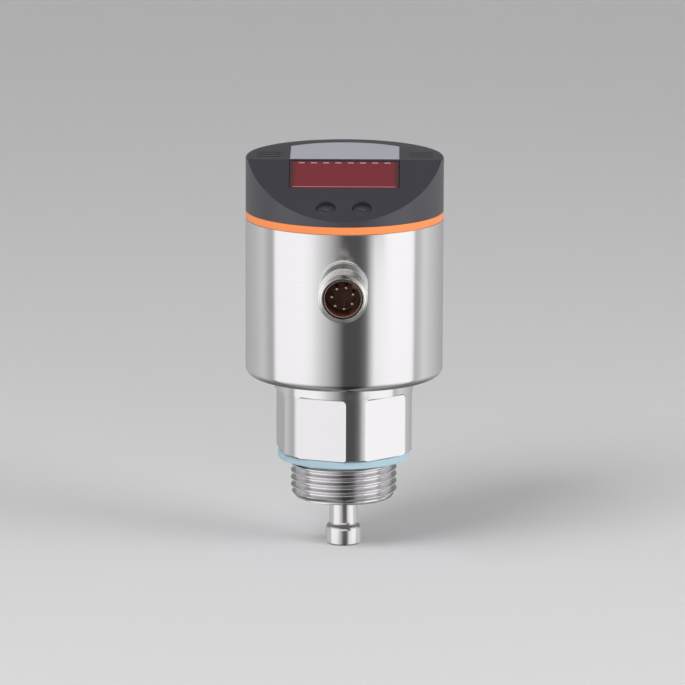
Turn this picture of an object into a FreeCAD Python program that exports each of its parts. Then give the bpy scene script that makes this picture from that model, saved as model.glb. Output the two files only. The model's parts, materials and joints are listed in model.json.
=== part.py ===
import FreeCAD, Part
import math
import os
import Sketcher
from FreeCAD import Placement, Rotation, Vector

# Electronic level sensor, in millimetres.
# A round steel head with a sloped display cap turns on a threaded process fitting.
# +Z is up, -Y is the side with the display and the plug connector.
# The origin lies on the axis, on the sealing plane: the underside of the flat seal.

DIMENSIONS = (
    ("seal_thickness", 2.0, "flat seal, thickness"),
    ("seal_inset", 0.85, "flat seal, distance of its edge inside the collar's edge"),
    ("seal_gap", 0.08, "flat seal, gap round the thread"),
    ("thread_radius", 13.22, "process thread, crest radius"),
    ("thread_length", 10.0, "process thread, length below the sealing plane"),
    ("thread_chamfer", 1.6, "process thread, height of the lead-in chamfer"),
    ("thread_pitch", 1.814, "process thread, pitch"),
    ("thread_depth", 1.1, "process thread, depth, also of the lead-in chamfer"),
    ("thread_land", 0.36, "process thread, width of a crest and of a root"),
    ("relief_depth", 0.82, "relief under the collar, depth below the thread's crest"),
    ("collar_shoulder", 4.03, "spanner collar, width outside the thread"),
    ("collar_height", 18.7, "spanner collar, height above the seal"),
    ("collar_chamfer", 0.3, "spanner collar, edge chamfer"),
    ("flat_depth", 1.25, "spanner flats, depth below the collar's radius"),
    ("flat_height", 15.7, "spanner flats, height above the seal"),
    ("flat_corner", 1.5, "spanner flats, corner radius left by the cutter"),
    ("flat_spare", 0.1, "spanner flats, how far the cutter passes the collar's edge"),
    ("flat_turn", -19.75, "first spanner flat, angle from the front"),
    ("swivel_gap", 0.3, "gap between the collar and the head"),
    ("spigot_radius", 12.0, "swivel spigot, radius"),
    ("running_gap", 0.06, "running clearance of the swivel and the buttons"),
    ("slip_gap", 0.02, "clearance of pieces that are fitted and stay put"),
    ("o_ring_play", 0.1, "O-ring grooves, play on each side of the ring"),
    ("hub_height", 6.0, "swivel hub in the head, height"),
    ("hub_wall", 1.2, "swivel hub in the head, wall outside the stop pin"),
    ("o_ring_section", 0.85, "swivel O-ring, radius of its section"),
    ("o_ring_groove", 1.6, "swivel O-ring groove, depth"),
    ("o_ring_lift", 2.2, "swivel O-ring, height of its middle above the hub's underside"),
    ("washer_gap", 0.1, "play above the hub"),
    ("washer_thickness", 1.0, "stop washer, thickness"),
    ("washer_width", 2.0, "stop washer, width of its ring"),
    ("stop_pin_radius", 1.0, "stop pin, radius"),
    ("stop_pin_depth", 3.0, "stop pin, depth in the hub"),
    ("stop_tab_width", 1.7, "stop washer tab, width"),
    ("circlip_thickness", 1.0, "retaining ring, thickness"),
    ("circlip_width", 1.4, "retaining ring, how far it stands out of the spigot"),
    ("circlip_depth", 0.8, "retaining ring groove, depth"),
    ("circlip_opening", 24.0, "retaining ring, opening angle"),
    ("spigot_land", 0.9, "spigot above the retaining ring"),
    ("rod_radius", 2.0, "probe shank, radius"),
    ("rod_land", 1.0, "probe shank, length above its nut"),
    ("neck_radius", 3.5, "probe neck, radius"),
    ("neck_end", 17.0, "probe neck, end below the sealing plane"),
    ("tip_radius", 4.45, "probe tip, radius"),
    ("tip_start", 18.0, "probe tip, start below the sealing plane"),
    ("tip_end", 22.3, "probe tip, end below the sealing plane"),
    ("tip_chamfer", 0.5, "probe tip, edge chamfer"),
    ("tip_hole_radius", 2.0, "threaded hole in the probe tip, radius"),
    ("tip_hole_depth", 6.0, "threaded hole in the probe tip, depth"),
    ("contact_radius", 1.0, "contact pin on the probe, radius"),
    ("insulator_radius", 9.0, "lower insulator, flange radius"),
    ("insulator_stem", 6.0, "lower insulator, stem radius"),
    ("insulator_recess", 0.4, "lower insulator, how far it lies inside the fitting"),
    ("insulator_flange_top", -3.0, "lower insulator, height of the flange's upper side"),
    ("stem_top", 5.0, "lower insulator, height of the stem's end"),
    ("stem_seal_height", 1.0, "stem O-ring, height of its middle"),
    ("stem_seal_section", 0.7, "stem O-ring, radius of its section"),
    ("cavity_wall", 3.5, "fitting cavity, wall round it in the spigot"),
    ("bush_thickness", 3.0, "upper insulator, thickness"),
    ("nut_height", 3.2, "rod nut, height"),
    ("nut_across", 7.0, "rod nut, size across its flats"),
    ("can_radius", 24.5, "steel housing, outer radius"),
    ("can_wall", 1.5, "steel housing, wall"),
    ("can_floor", 2.5, "steel housing, floor thickness"),
    ("can_height", 39.5, "steel housing, height"),
    ("can_edge", 2.0, "steel housing, radius of the lower edge"),
    ("trim_height", 1.9, "coloured trim ring, height"),
    ("cap_rise", 13.4, "display cap, height above the trim ring"),
    ("cap_wall", 2.0, "display cap, wall"),
    ("cap_edge", 0.5, "display cap, rounding of the top rim"),
    ("face_run", 19.0, "display cap, level distance from the crease to the front"),
    ("face_slope", 32.6, "display cap, slope of the front face"),
    ("skirt_gap", 0.55, "display cap, gap between its skirt and the plug connector"),
    ("skirt_wall", 2.3, "display cap, wall of the skirt"),
    ("cap_seal_section", 0.8, "cap O-ring, radius of its section"),
    ("cap_seal_groove", 1.4, "cap O-ring groove, depth"),
    ("cap_seal_drop", 4.5, "cap O-ring, drop of its middle below the trim ring"),
    ("window_side", 11.0, "display window, distance of its side from the cap's side"),
    ("window_length", 10.1, "display window, length down the face"),
    ("window_top", 0.3, "display window, distance below the crease"),
    ("window_thickness", 1.3, "display window, thickness"),
    ("window_sink", 0.1, "display window, how far it lies below the face"),
    ("window_corner", 0.8, "display window, corner radius"),
    ("window_ledge", 1.2, "ledge that the display window sits on"),
    ("window_lip", 0.3, "upper ledge that the display window sits on"),
    ("window_gap", 0.1, "gap round the display window"),
    ("label_side", 11.05, "label plate, distance of its side from the cap's side"),
    ("label_front", 1.2, "label plate, front edge behind the crease"),
    ("label_rear", 5.7, "label plate, distance of its rear edge from the cap's back"),
    ("label_thickness", 0.4, "label plate, thickness"),
    ("label_proud", 0.1, "label plate, height above the cap"),
    ("groove_side", 2.7, "grip grooves, distance of their outer end from the cap's side"),
    ("groove_length", 6.0, "grip grooves, length"),
    ("groove_first", 4.3, "first grip groove, distance behind the crease"),
    ("groove_pitch", 2.9, "grip grooves, pitch"),
    ("groove_width", 0.6, "grip grooves, width"),
    ("groove_depth", 0.4, "grip grooves, depth"),
    ("button_apart", 8.8, "buttons, distance apart"),
    ("button_down", 17.5, "buttons, distance down the face"),
    ("button_radius", 2.4, "buttons, radius"),
    ("button_skirt", 0.5, "buttons, width of the inner collar"),
    ("button_collar", 0.8, "buttons, thickness of the inner collar"),
    ("button_tilt", 13.0, "buttons, tilt of the finger face"),
    ("button_sink", 0.1, "buttons, depth of the finger face's lower edge"),
    ("button_stem", 1.2, "buttons, radius of the stem"),
    ("button_seal_section", 0.3, "button O-ring, radius of its section"),
    ("button_travel", 0.5, "buttons, travel"),
    ("board_depth", 7.4, "display board, depth of its upper side below the face"),
    ("board_thickness", 1.6, "circuit boards, thickness"),
    ("board_margin", 0.6, "display board, margin beside its screw posts"),
    ("board_nose_margin", 1.0, "display board, margin beside the switches"),
    ("board_lip", 0.3, "display board, margin in front of the switches"),
    ("board_rear", 0.5, "display board, distance of its rear edge below the crease"),
    ("switch_size", 4.5, "push switch, width"),
    ("switch_height", 2.0, "push switch, height"),
    ("switch_base", 0.4, "push switch, thickness under the plunger"),
    ("plunger_radius", 0.9, "push switch plunger, radius"),
    ("plunger_spare", 0.2, "push switch plunger, height left above the switch when pressed"),
    ("plunger_gap", 0.1, "push switch plunger, gap under it when pressed"),
    ("digit_inset", 2.5, "digit display, distance of its side from the window's side"),
    ("digit_length", 6.6, "digit display, length down the face"),
    ("digit_height", 4.0, "digit display, height"),
    ("digit_shift", 0.3, "digit display, shift down the face from the window's middle"),
    ("led_inset", 2.18, "indicator lights, distance of the row's end from the window's side"),
    ("led_width", 1.5, "indicator lights, width"),
    ("led_length", 0.6, "indicator lights, length down the face"),
    ("led_down", 1.05, "indicator lights, distance down the face"),
    ("led_gap", 0.3, "gap between the lights and the window"),
    ("post_radius", 1.7, "screw posts in the cap, radius"),
    ("post_gap", 0.8, "screw posts, gap beside the window"),
    ("post_down", 8.0, "screw posts, distance down the face"),
    ("screw_radius", 1.0, "display screws, radius"),
    ("screw_head", 1.9, "display screws, head radius"),
    ("screw_head_height", 1.2, "display screws, head height"),
    ("screw_length", 4.0, "display screws, length under the head"),
    ("plug_drop", 12.3, "plug connector, distance below the housing's top"),
    ("plug_reach", 18.5, "plug connector, length in front of the housing"),
    ("plug_thread", 8.1, "plug connector, thread length"),
    ("plug_radius", 6.0, "plug connector, thread radius"),
    ("plug_neck", 5.65, "plug connector, neck radius"),
    ("plug_flange", 5.95, "plug connector, radius of the weld flange"),
    ("plug_flange_length", 2.0, "plug connector, length of the weld flange"),
    ("plug_groove", 5.1, "plug connector, radius at the undercut"),
    ("plug_groove_length", 0.9, "plug connector, length of the undercut"),
    ("plug_chamfer", 0.4, "plug connector, edge chamfer"),
    ("plug_bore", 4.85, "plug connector, bore radius"),
    ("plug_tail", 4.0, "plug connector, length inside the housing"),
    ("insert_recess", 0.8, "plug insert, distance behind the plug's face"),
    ("insert_wall", 0.45, "plug insert, wall of its sleeve"),
    ("insert_depth", 9.0, "plug insert, depth of its floor"),
    ("insert_seal_section", 0.5, "insert O-ring, radius of its section"),
    ("pin_radius", 0.4, "plug pins, radius"),
    ("pin_circle", 2.68, "plug pins, radius of their circle"),
    ("pin_recess", 1.6, "plug pins, distance of their tips behind the face"),
    ("pin_tail", 1.0, "plug pins, length behind the insert"),
    ("pin_turn", 20.3, "plug pins, angle of the first one"),
    ("key_width", 1.2, "plug insert key, width"),
    ("key_height", 0.7, "plug insert key, height"),
    ("key_recess", 0.5, "plug insert key, distance behind the cup's mouth"),
    ("key_angle", 46.0, "plug insert key, angle"),
    ("carrier_rise", 8.6, "board carrier, height of its seat above the housing's floor"),
    ("carrier_seat", 1.5, "board carrier, thickness of its seat"),
    ("carrier_ledge", 3.0, "board carrier, width of its seat under the measuring board"),
    ("carrier_wall", 1.2, "board carrier, wall"),
    ("sensor_board_gap", 3.0, "measuring board, gap to the housing"),
    ("notch_gap", 0.2, "measuring board, gap round the rails"),
    ("main_board_drop", 4.8, "main board, distance of its top below the housing's top"),
    ("main_board_back", 6.0, "main board, distance behind the axis"),
    ("rail_width", 3.0, "board rails, width"),
    ("rail_depth", 5.0, "board rails, depth"),
    ("rail_gap", 1.2, "board rails, gap to the housing"),
    ("rail_drop", 8.35, "board rails, distance of their top below the main board's top"),
    ("slot_depth", 1.2, "board rails, depth of the slot"),
    ("socket_length", 7.0, "contact socket, length"),
    ("socket_wall", 1.1, "contact socket, wall"),
    ("socket_roof", 0.8, "contact socket, thickness of its closed end"),
    ("contact_gap", 0.3, "gap between the contact pin's end and the socket"),
)

PIN_COUNT = 7
LED_COUNT = 8
GROOVE_COUNT = 3
FLAT_COUNT = 6
THREAD_RING_COUNT = 5

# A cutting tool passes the surface that it cuts by OVERCUT.
# Shapes that become one solid reach into each other by OVERLAP.
OVERCUT = 1
OVERLAP = 0.1

doc = FreeCAD.newDocument("level_sensor")
sheet = doc.addObject("Spreadsheet::Sheet", "Sizes")
nodes = []


class Size:
    """A length that holds its number and the sheet formula that gives it."""

    def __init__(self, number, formula):
        self.number = number
        self.formula = formula

    def __float__(self):
        return self.number

    def __add__(self, other):
        other = as_size(other)
        return Size(self.number + other.number, f"({self.formula} + {other.formula})")

    def __sub__(self, other):
        other = as_size(other)
        return Size(self.number - other.number, f"({self.formula} - {other.formula})")

    def __mul__(self, other):
        other = as_size(other)
        return Size(self.number * other.number, f"({self.formula} * {other.formula})")

    def __truediv__(self, other):
        other = as_size(other)
        return Size(self.number / other.number, f"({self.formula} / {other.formula})")

    def __radd__(self, other):
        return as_size(other) + self

    def __rsub__(self, other):
        return as_size(other) - self

    def __rmul__(self, other):
        return as_size(other) * self

    def __neg__(self):
        return as_size(0) - self


def as_size(item):
    if isinstance(item, Size):
        return item
    return Size(float(item), repr(float(item)))


def sine(angle):
    angle = as_size(angle)
    return Size(math.sin(math.radians(angle.number)), f"sin({angle.formula} * 1 deg)")


def cosine(angle):
    angle = as_size(angle)
    return Size(math.cos(math.radians(angle.number)), f"cos({angle.formula} * 1 deg)")


def tangent(angle):
    angle = as_size(angle)
    return Size(math.tan(math.radians(angle.number)), f"tan({angle.formula} * 1 deg)")


def root(item):
    return Size(math.sqrt(item.number), f"sqrt({item.formula})")


def fill_sheet():
    """Write the driving dimensions to the sheet and give them back by name."""
    sizes = {}
    for row, (alias, number, note) in enumerate(DIMENSIONS, start=1):
        sheet.set(f"A{row}", note)
        sheet.set(f"B{row}", str(number))
        sheet.setAlias(f"B{row}", alias)
        sizes[alias] = Size(number, f"Sizes.{alias}")
    doc.recompute()
    return sizes


def drive(item, **formulas):
    """Bind properties of an object, such as Radius or Placement_Base_z, to the sheet."""
    for path, size in formulas.items():
        item.setExpression(path.replace("_", "."), as_size(size).formula)


def node(item, name):
    """Mark an object as one finished piece under its own label."""
    item.Label = name
    nodes.append(item)
    return item


def origin_feature(body, role):
    return next(item for item in body.Origin.OriginFeatures if item.Role == role)


def new_sketch(body, name, plane="XZ_Plane", lift=None):
    """A sketch on one of the body's own planes, lifted along the plane's normal."""
    sketch = body.newObject("Sketcher::SketchObject", name)
    sketch.AttachmentSupport = [(origin_feature(body, plane), "")]
    sketch.MapMode = "FlatFace"
    if lift is not None:
        drive(sketch, AttachmentOffset_Base_z=lift)
    return sketch


def pin_point(sketch, edge, end, across, up):
    """Tie one end of an edge to the sheet, measured from the sketch's origin."""
    for kind, size, axis in (("DistanceX", across, -2), ("DistanceY", up, -1)):
        size = as_size(size)
        if size.formula == "0.0":
            sketch.addConstraint(Sketcher.Constraint("PointOnObject", edge, end, axis))
            continue
        number = sketch.addConstraint(Sketcher.Constraint(kind, -1, 1, edge, end, size.number))
        sketch.setExpression(f"Constraints[{number}]", size.formula)


def draw_outline(sketch, corners):
    """A closed outline of straight edges through corners that follow the sheet."""
    count = len(corners)
    points = [Vector(float(across), float(up), 0) for across, up in corners]
    edges = [Part.LineSegment(points[here], points[(here + 1) % count]) for here in range(count)]
    sketch.addGeometry(edges)
    joints = [Sketcher.Constraint("Coincident", here, 2, (here + 1) % count, 1) for here in range(count)]
    sketch.addConstraint(joints)
    for here, (across, up) in enumerate(corners):
        pin_point(sketch, here, 1, across, up)


def draw_circle(sketch, across, up, radius):
    """A circle whose middle and radius follow the sheet."""
    middle = Vector(float(across), float(up), 0)
    edge = sketch.addGeometry(Part.Circle(middle, Vector(0, 0, 1), float(radius)))
    pin_point(sketch, edge, 3, across, up)
    number = sketch.addConstraint(Sketcher.Constraint("Radius", edge, float(radius)))
    sketch.setExpression(f"Constraints[{number}]", as_size(radius).formula)


def draw_box(sketch, low_across, high_across, low_up, high_up):
    draw_outline(sketch, ((low_across, low_up), (high_across, low_up),
                          (high_across, high_up), (low_across, high_up)))


def new_body(name):
    return doc.addObject("PartDesign::Body", name)


def turn(body, name, corners):
    """Add a turned solid: the outline, radius across and height up, goes round the Z axis."""
    sketch = new_sketch(body, name + "_section")
    draw_outline(sketch, corners)
    feature = body.newObject("PartDesign::Revolution", name + "_turn")
    feature.Profile = sketch
    feature.ReferenceAxis = (sketch, ["V_Axis"])
    feature.Angle = 360
    return feature


def turn_ring(body, name, radius, height, section):
    """Add a ring of round section, such as an O-ring."""
    sketch = new_sketch(body, name + "_section")
    draw_circle(sketch, radius, height, section)
    feature = body.newObject("PartDesign::Revolution", name + "_turn")
    feature.Profile = sketch
    feature.ReferenceAxis = (sketch, ["V_Axis"])
    feature.Angle = 360
    return feature


def groove_round(body, name, corners):
    """Cut a turned groove out of a body."""
    sketch = new_sketch(body, name + "_section")
    draw_outline(sketch, corners)
    feature = body.newObject("PartDesign::Groove", name + "_cut")
    feature.Profile = sketch
    feature.ReferenceAxis = (sketch, ["V_Axis"])
    feature.Angle = 360
    return feature


def pad(body, name, sketch, length):
    feature = body.newObject("PartDesign::Pad", name)
    feature.Profile = sketch
    drive(feature, Length=length)
    return feature


def pocket(body, name, sketch, length=None, both_ways=False, backwards=False):
    """Cut a sketch's outline out of a body, to a length or through everything."""
    feature = body.newObject("PartDesign::Pocket", name)
    feature.Profile = sketch
    feature.Reversed = backwards
    if length is None:
        feature.Type = "ThroughAll"
        feature.Midplane = both_ways
    else:
        drive(feature, Length=length)
    return feature


def round_edges(body, name, base, chosen, radius, kind="PartDesign::Fillet"):
    """Round or chamfer the edges of a feature that a test picks out."""
    doc.recompute()
    names = [f"Edge{place}" for place, edge in enumerate(base.Shape.Edges, start=1) if chosen(edge)]
    feature = body.newObject(kind, name)
    feature.Base = (base, names)
    drive(feature, **{"Radius" if kind.endswith("Fillet") else "Size": radius})
    return feature


def near(first, second):
    return abs(float(first) - float(second)) < 1e-4


def is_ring(edge, radius, height):
    """True for a round edge about the Z axis with this radius, at this height."""
    curve = edge.Curve
    if not isinstance(curve, Part.Circle):
        return False
    return near(curve.Radius, radius) and near(curve.Center.z, height)


def cylinder(name, radius, height, across=0, along=0, base=0):
    """An upright cylinder that stands on the height called base."""
    item = doc.addObject("Part::Cylinder", name)
    drive(item, Radius=radius, Height=height, Placement_Base_x=across,
          Placement_Base_y=along, Placement_Base_z=base)
    return item


def block(name, low, size):
    """A box from its low corner and its three sizes."""
    item = doc.addObject("Part::Box", name)
    drive(item, Length=size[0], Width=size[1], Height=size[2], Placement_Base_x=low[0],
          Placement_Base_y=low[1], Placement_Base_z=low[2])
    return item


def cut(name, base, *tools):
    """Cut one or more tools from a solid."""
    feature = doc.addObject("Part::Cut", name)
    feature.Base = base
    feature.Tool = tools[0] if len(tools) == 1 else fuse(name + "_tools", *tools)
    return feature


def fuse(name, *items):
    feature = doc.addObject("Part::MultiFuse", name)
    feature.Shapes = list(items)
    return feature


def group(name, *items):
    """Several separate solids under one label."""
    feature = doc.addObject("Part::Compound", name)
    feature.Links = list(items)
    return feature


def lay_on_face(item):
    """Move a piece drawn flat on the XY plane to the cap's sloped face.

    Its X axis stays, its Y axis points up the face from the crease and its Z axis points outwards.
    """
    item.Placement = Placement(Vector(0, 0, 0), Rotation(Vector(1, 0, 0), D["face_slope"].number))
    drive(item, Placement_Base_y=-CREASE, Placement_Base_z=CAP_TOP,
          Placement_Rotation_Angle=D["face_slope"])
    return item


def lay_on_plug_axis(item):
    """Turn a piece about the Z axis so that its axis is the plug connector's, pointing to the front."""
    item.Placement = Placement(Vector(0, 0, 0), Rotation(Vector(1, 0, 0), 90))
    drive(item, Placement_Base_z=PLUG_HEIGHT)
    return item


D = fill_sheet()

# Heights that several pieces share, from the sealing plane upwards.
COLLAR_TOP = D["seal_thickness"] + D["collar_height"]
CAN_BOTTOM = COLLAR_TOP + D["swivel_gap"]
FLOOR_TOP = CAN_BOTTOM + D["can_floor"]
HUB_TOP = CAN_BOTTOM + D["hub_height"]
WASHER_BASE = HUB_TOP + D["washer_gap"]
CIRCLIP_BASE = WASHER_BASE + D["washer_thickness"]
SPIGOT_TOP = CIRCLIP_BASE + D["circlip_thickness"] + D["spigot_land"]
CAN_TOP = CAN_BOTTOM + D["can_height"]
TRIM_TOP = CAN_TOP + D["trim_height"]
CAP_TOP = TRIM_TOP + D["cap_rise"]
CAN_BORE = D["can_radius"] - D["can_wall"]
BUSH_TOP = D["stem_top"] + D["bush_thickness"]
NUT_TOP = BUSH_TOP + D["nut_height"]
CARRIER_TOP = FLOOR_TOP + D["carrier_rise"]
BOARD_TOP = CARRIER_TOP + D["board_thickness"]
MAIN_BOARD_TOP = CAN_TOP - D["main_board_drop"]
SOCKET_BOTTOM = CARRIER_TOP - D["socket_length"]
SOCKET_BORE_END = CARRIER_TOP - D["socket_roof"]
CONTACT_TOP = SOCKET_BORE_END - D["contact_gap"]
PLUG_HEIGHT = CAN_TOP - D["plug_drop"]
SKIRT_RADIUS = CAN_BORE - D["slip_gap"]
SKIRT_BOTTOM = PLUG_HEIGHT + D["plug_neck"] + D["skirt_gap"]

# Distances along the plug connector's axis, from the housing's axis outwards.
PLUG_FACE = D["can_radius"] + D["plug_reach"]
PLUG_TAIL = CAN_BORE - D["plug_tail"]
INSERT_FLOOR = PLUG_FACE - D["insert_depth"]

# Level distances from the axis, in the swivel.
COLLAR_RADIUS = D["thread_radius"] + D["collar_shoulder"]
HALF_ACROSS = COLLAR_RADIUS - D["flat_depth"]
CAVITY_RADIUS = D["spigot_radius"] - D["cavity_wall"]
HUB_BORE = D["spigot_radius"] + D["running_gap"]
WASHER_RADIUS = D["spigot_radius"] + D["washer_width"]
STOP_PLACE = WASHER_RADIUS + D["stop_pin_radius"]
HUB_RADIUS = STOP_PLACE + D["stop_pin_radius"] + D["hub_wall"]
CIRCLIP_RADIUS = D["spigot_radius"] + D["circlip_width"]

# Level distances from the axis, in the plan of the housing and the cap.
CREASE = D["can_radius"] - D["face_run"]
WINDOW_HALF = D["can_radius"] - D["window_side"]
POST_PLACE = WINDOW_HALF + D["post_gap"] + D["post_radius"]
SENSOR_BOARD_RADIUS = CAN_BORE - D["sensor_board_gap"]
RAIL_MIDDLE = D["main_board_back"] + D["board_thickness"] / 2
RAIL_REAR = RAIL_MIDDLE + D["rail_depth"] / 2
RAIL_OUTSIDE = root(CAN_BORE * CAN_BORE - RAIL_REAR * RAIL_REAR) - D["rail_gap"]
MAIN_BOARD_HALF = RAIL_OUTSIDE - D["rail_width"] + D["slot_depth"]

# Depths below the sloped face, measured along its normal.
WINDOW_UNDERSIDE = D["window_sink"] + D["window_thickness"]
COLLAR_DEPTH = D["cap_wall"] + D["running_gap"]
SWITCH_TOP = D["board_depth"] - D["switch_height"]
STEM_END = SWITCH_TOP - D["button_travel"] - D["plunger_spare"]

SIDES = (("left", -1), ("right", 1))


def button_place(side):
    """The middle of a button on the face: across and up from the crease."""
    return D["button_apart"] / 2 * side, -D["button_down"]


def turned_piece(name, corners):
    body = new_body(name)
    turn(body, name, corners)
    return node(body, name)


def o_ring(name, radius, height, section):
    body = new_body(name)
    turn_ring(body, name, radius, height, section)
    return node(body, name)


def draw_rounded_box(sketch, low_across, high_across, low_up, high_up, radius, rounded):
    """A rectangle with some round corners, counted anticlockwise from the lower left one."""
    corners = ((low_across, low_up), (high_across, low_up), (high_across, high_up), (low_across, high_up))
    steps = ((1, 0), (0, 1), (-1, 0), (0, -1))
    stops = []
    arcs = []
    for place, (across, up) in enumerate(corners):
        before, after = steps[place - 1], steps[place]
        if place in rounded:
            arcs.append(len(stops))
            stops.append((across - radius * before[0], up - radius * before[1]))
            stops.append((across + radius * after[0], up + radius * after[1]))
        else:
            stops.append((across, up))
    count = len(stops)
    points = [Vector(float(across), float(up), 0) for across, up in stops]
    for here in range(count):
        start, end = points[here], points[(here + 1) % count]
        if here in arcs:
            step = end - start
            bulge = Vector(step.y, -step.x, 0) * (math.sqrt(2) - 1) / 2
            sketch.addGeometry(Part.Arc(start, (start + end) / 2 + bulge, end))
        else:
            sketch.addGeometry(Part.LineSegment(start, end))
    joints = [Sketcher.Constraint("Coincident", here, 2, (here + 1) % count, 1) for here in range(count)]
    sketch.addConstraint(joints)
    for here, (across, up) in enumerate(stops):
        pin_point(sketch, here, 1, across, up)
    for here in arcs:
        number = sketch.addConstraint(Sketcher.Constraint("Radius", here, float(radius)))
        sketch.setExpression(f"Constraints[{number}]", radius.formula)


def ring_groove(body, name, radius, height, section):
    """A groove that an O-ring fills, open to the outside at the given radius."""
    bottom = radius - section * 2 - D["slip_gap"]
    reach = section + D["o_ring_play"]
    corners = ((bottom, height - reach), (radius + OVERCUT, height - reach),
               (radius + OVERCUT, height + reach), (bottom, height + reach))
    return groove_round(body, name, corners)


# The process fitting and what it carries.

def cut_thread(body):
    """Cut the process thread as one ring for each pitch, from the lead-in chamfer upwards."""
    crest = D["thread_radius"]
    valley = crest - D["thread_depth"]
    half_mouth = (D["thread_pitch"] - D["thread_land"]) / 2
    half_floor = D["thread_land"] / 2
    middle = D["thread_chamfer"] - D["thread_length"] - half_mouth
    first = groove_round(body, "thread_ring", (
        (valley, middle - half_floor),
        (crest, middle - half_mouth),
        (crest + OVERCUT, middle - half_mouth),
        (crest + OVERCUT, middle + half_mouth),
        (crest, middle + half_mouth),
        (valley, middle + half_floor),
    ))
    pattern = body.newObject("PartDesign::LinearPattern", "thread_rings")
    pattern.Originals = [first]
    pattern.Direction = (origin_feature(body, "Z_Axis"), [""])
    pattern.Occurrences = THREAD_RING_COUNT
    drive(pattern, Length=D["thread_pitch"] * (THREAD_RING_COUNT - 1))
    body.Tip = pattern


def make_process_fitting():
    """Thread, spanner collar and swivel spigot, turned from one bar, with six milled flats."""
    body = new_body("process_fitting")
    thread_end = -D["thread_length"]
    relief = D["thread_radius"] - D["relief_depth"]
    bevel = D["collar_chamfer"]
    stem_bore = D["insulator_stem"] + D["slip_gap"]
    flange_bore = D["insulator_radius"] + D["slip_gap"]
    turn(body, "fitting", (
        (flange_bore, thread_end),
        (D["thread_radius"] - D["thread_depth"], thread_end),
        (D["thread_radius"], thread_end + D["thread_chamfer"]),
        (D["thread_radius"], 0),
        (relief, 0),
        (relief, D["seal_thickness"]),
        (COLLAR_RADIUS - bevel, D["seal_thickness"]),
        (COLLAR_RADIUS, D["seal_thickness"] + bevel),
        (COLLAR_RADIUS, COLLAR_TOP - bevel),
        (COLLAR_RADIUS - bevel, COLLAR_TOP),
        (D["spigot_radius"], COLLAR_TOP),
        (D["spigot_radius"], SPIGOT_TOP),
        (CAVITY_RADIUS, SPIGOT_TOP),
        (CAVITY_RADIUS, D["stem_top"]),
        (stem_bore, D["stem_top"]),
        (stem_bore, D["insulator_flange_top"]),
        (flange_bore, D["insulator_flange_top"]),
    ))
    cut_thread(body)
    swivel_seal = CAN_BOTTOM + D["o_ring_lift"]
    ring_groove(body, "swivel_seal_groove", D["spigot_radius"], swivel_seal, D["o_ring_section"])
    circlip_floor = D["spigot_radius"] - D["circlip_depth"]
    groove_round(body, "circlip_groove", (
        (circlip_floor, CIRCLIP_BASE),
        (D["spigot_radius"] + OVERCUT, CIRCLIP_BASE),
        (D["spigot_radius"] + OVERCUT, CIRCLIP_BASE + D["circlip_thickness"]),
        (circlip_floor, CIRCLIP_BASE + D["circlip_thickness"]),
    ))
    half_width = root(COLLAR_RADIUS * COLLAR_RADIUS - HALF_ACROSS * HALF_ACROSS) + D["flat_spare"]
    sketch = new_sketch(body, "flat_outline", lift=HALF_ACROSS)
    flat_top = D["seal_thickness"] + D["flat_height"]
    draw_rounded_box(sketch, -half_width, half_width, D["seal_thickness"] - OVERCUT, flat_top,
                     D["flat_corner"], rounded=(2, 3))
    flat = pocket(body, "flat", sketch, D["flat_depth"] + OVERCUT, backwards=True)
    pattern = body.newObject("PartDesign::PolarPattern", "flats")
    pattern.Originals = [flat]
    pattern.Axis = (origin_feature(body, "Z_Axis"), [""])
    pattern.Angle = 360
    pattern.Occurrences = FLAT_COUNT
    body.Tip = pattern
    body.Placement = Placement(Vector(0, 0, 0), Rotation(Vector(0, 0, 1), D["flat_turn"].number))
    drive(body, Placement_Rotation_Angle=D["flat_turn"])
    return node(body, "process_fitting")


def make_sealing_ring():
    bore = D["thread_radius"] + D["seal_gap"]
    edge = COLLAR_RADIUS - D["seal_inset"]
    return turned_piece("sealing_ring", (
        (bore, 0),
        (edge, 0),
        (edge, D["seal_thickness"]),
        (bore, D["seal_thickness"]),
    ))


def make_probe_stub():
    """Shank, neck and tip in one piece, with a threaded hole for the measuring rod."""
    shoulder = D["insulator_recess"] - D["thread_length"]
    shank_end = NUT_TOP + D["rod_land"]
    hole_end = D["tip_hole_depth"] - D["tip_end"]
    bevel = D["tip_chamfer"]
    return turned_piece("probe_stub", (
        (D["tip_hole_radius"], -D["tip_end"]),
        (D["tip_radius"] - bevel, -D["tip_end"]),
        (D["tip_radius"], bevel - D["tip_end"]),
        (D["tip_radius"], -D["tip_start"]),
        (D["neck_radius"], -D["neck_end"]),
        (D["neck_radius"], shoulder),
        (D["rod_radius"], shoulder),
        (D["rod_radius"], shank_end),
        (D["contact_radius"], shank_end),
        (D["contact_radius"], CONTACT_TOP),
        (0, CONTACT_TOP),
        (0, hole_end),
        (D["tip_hole_radius"], hole_end),
    ))


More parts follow.
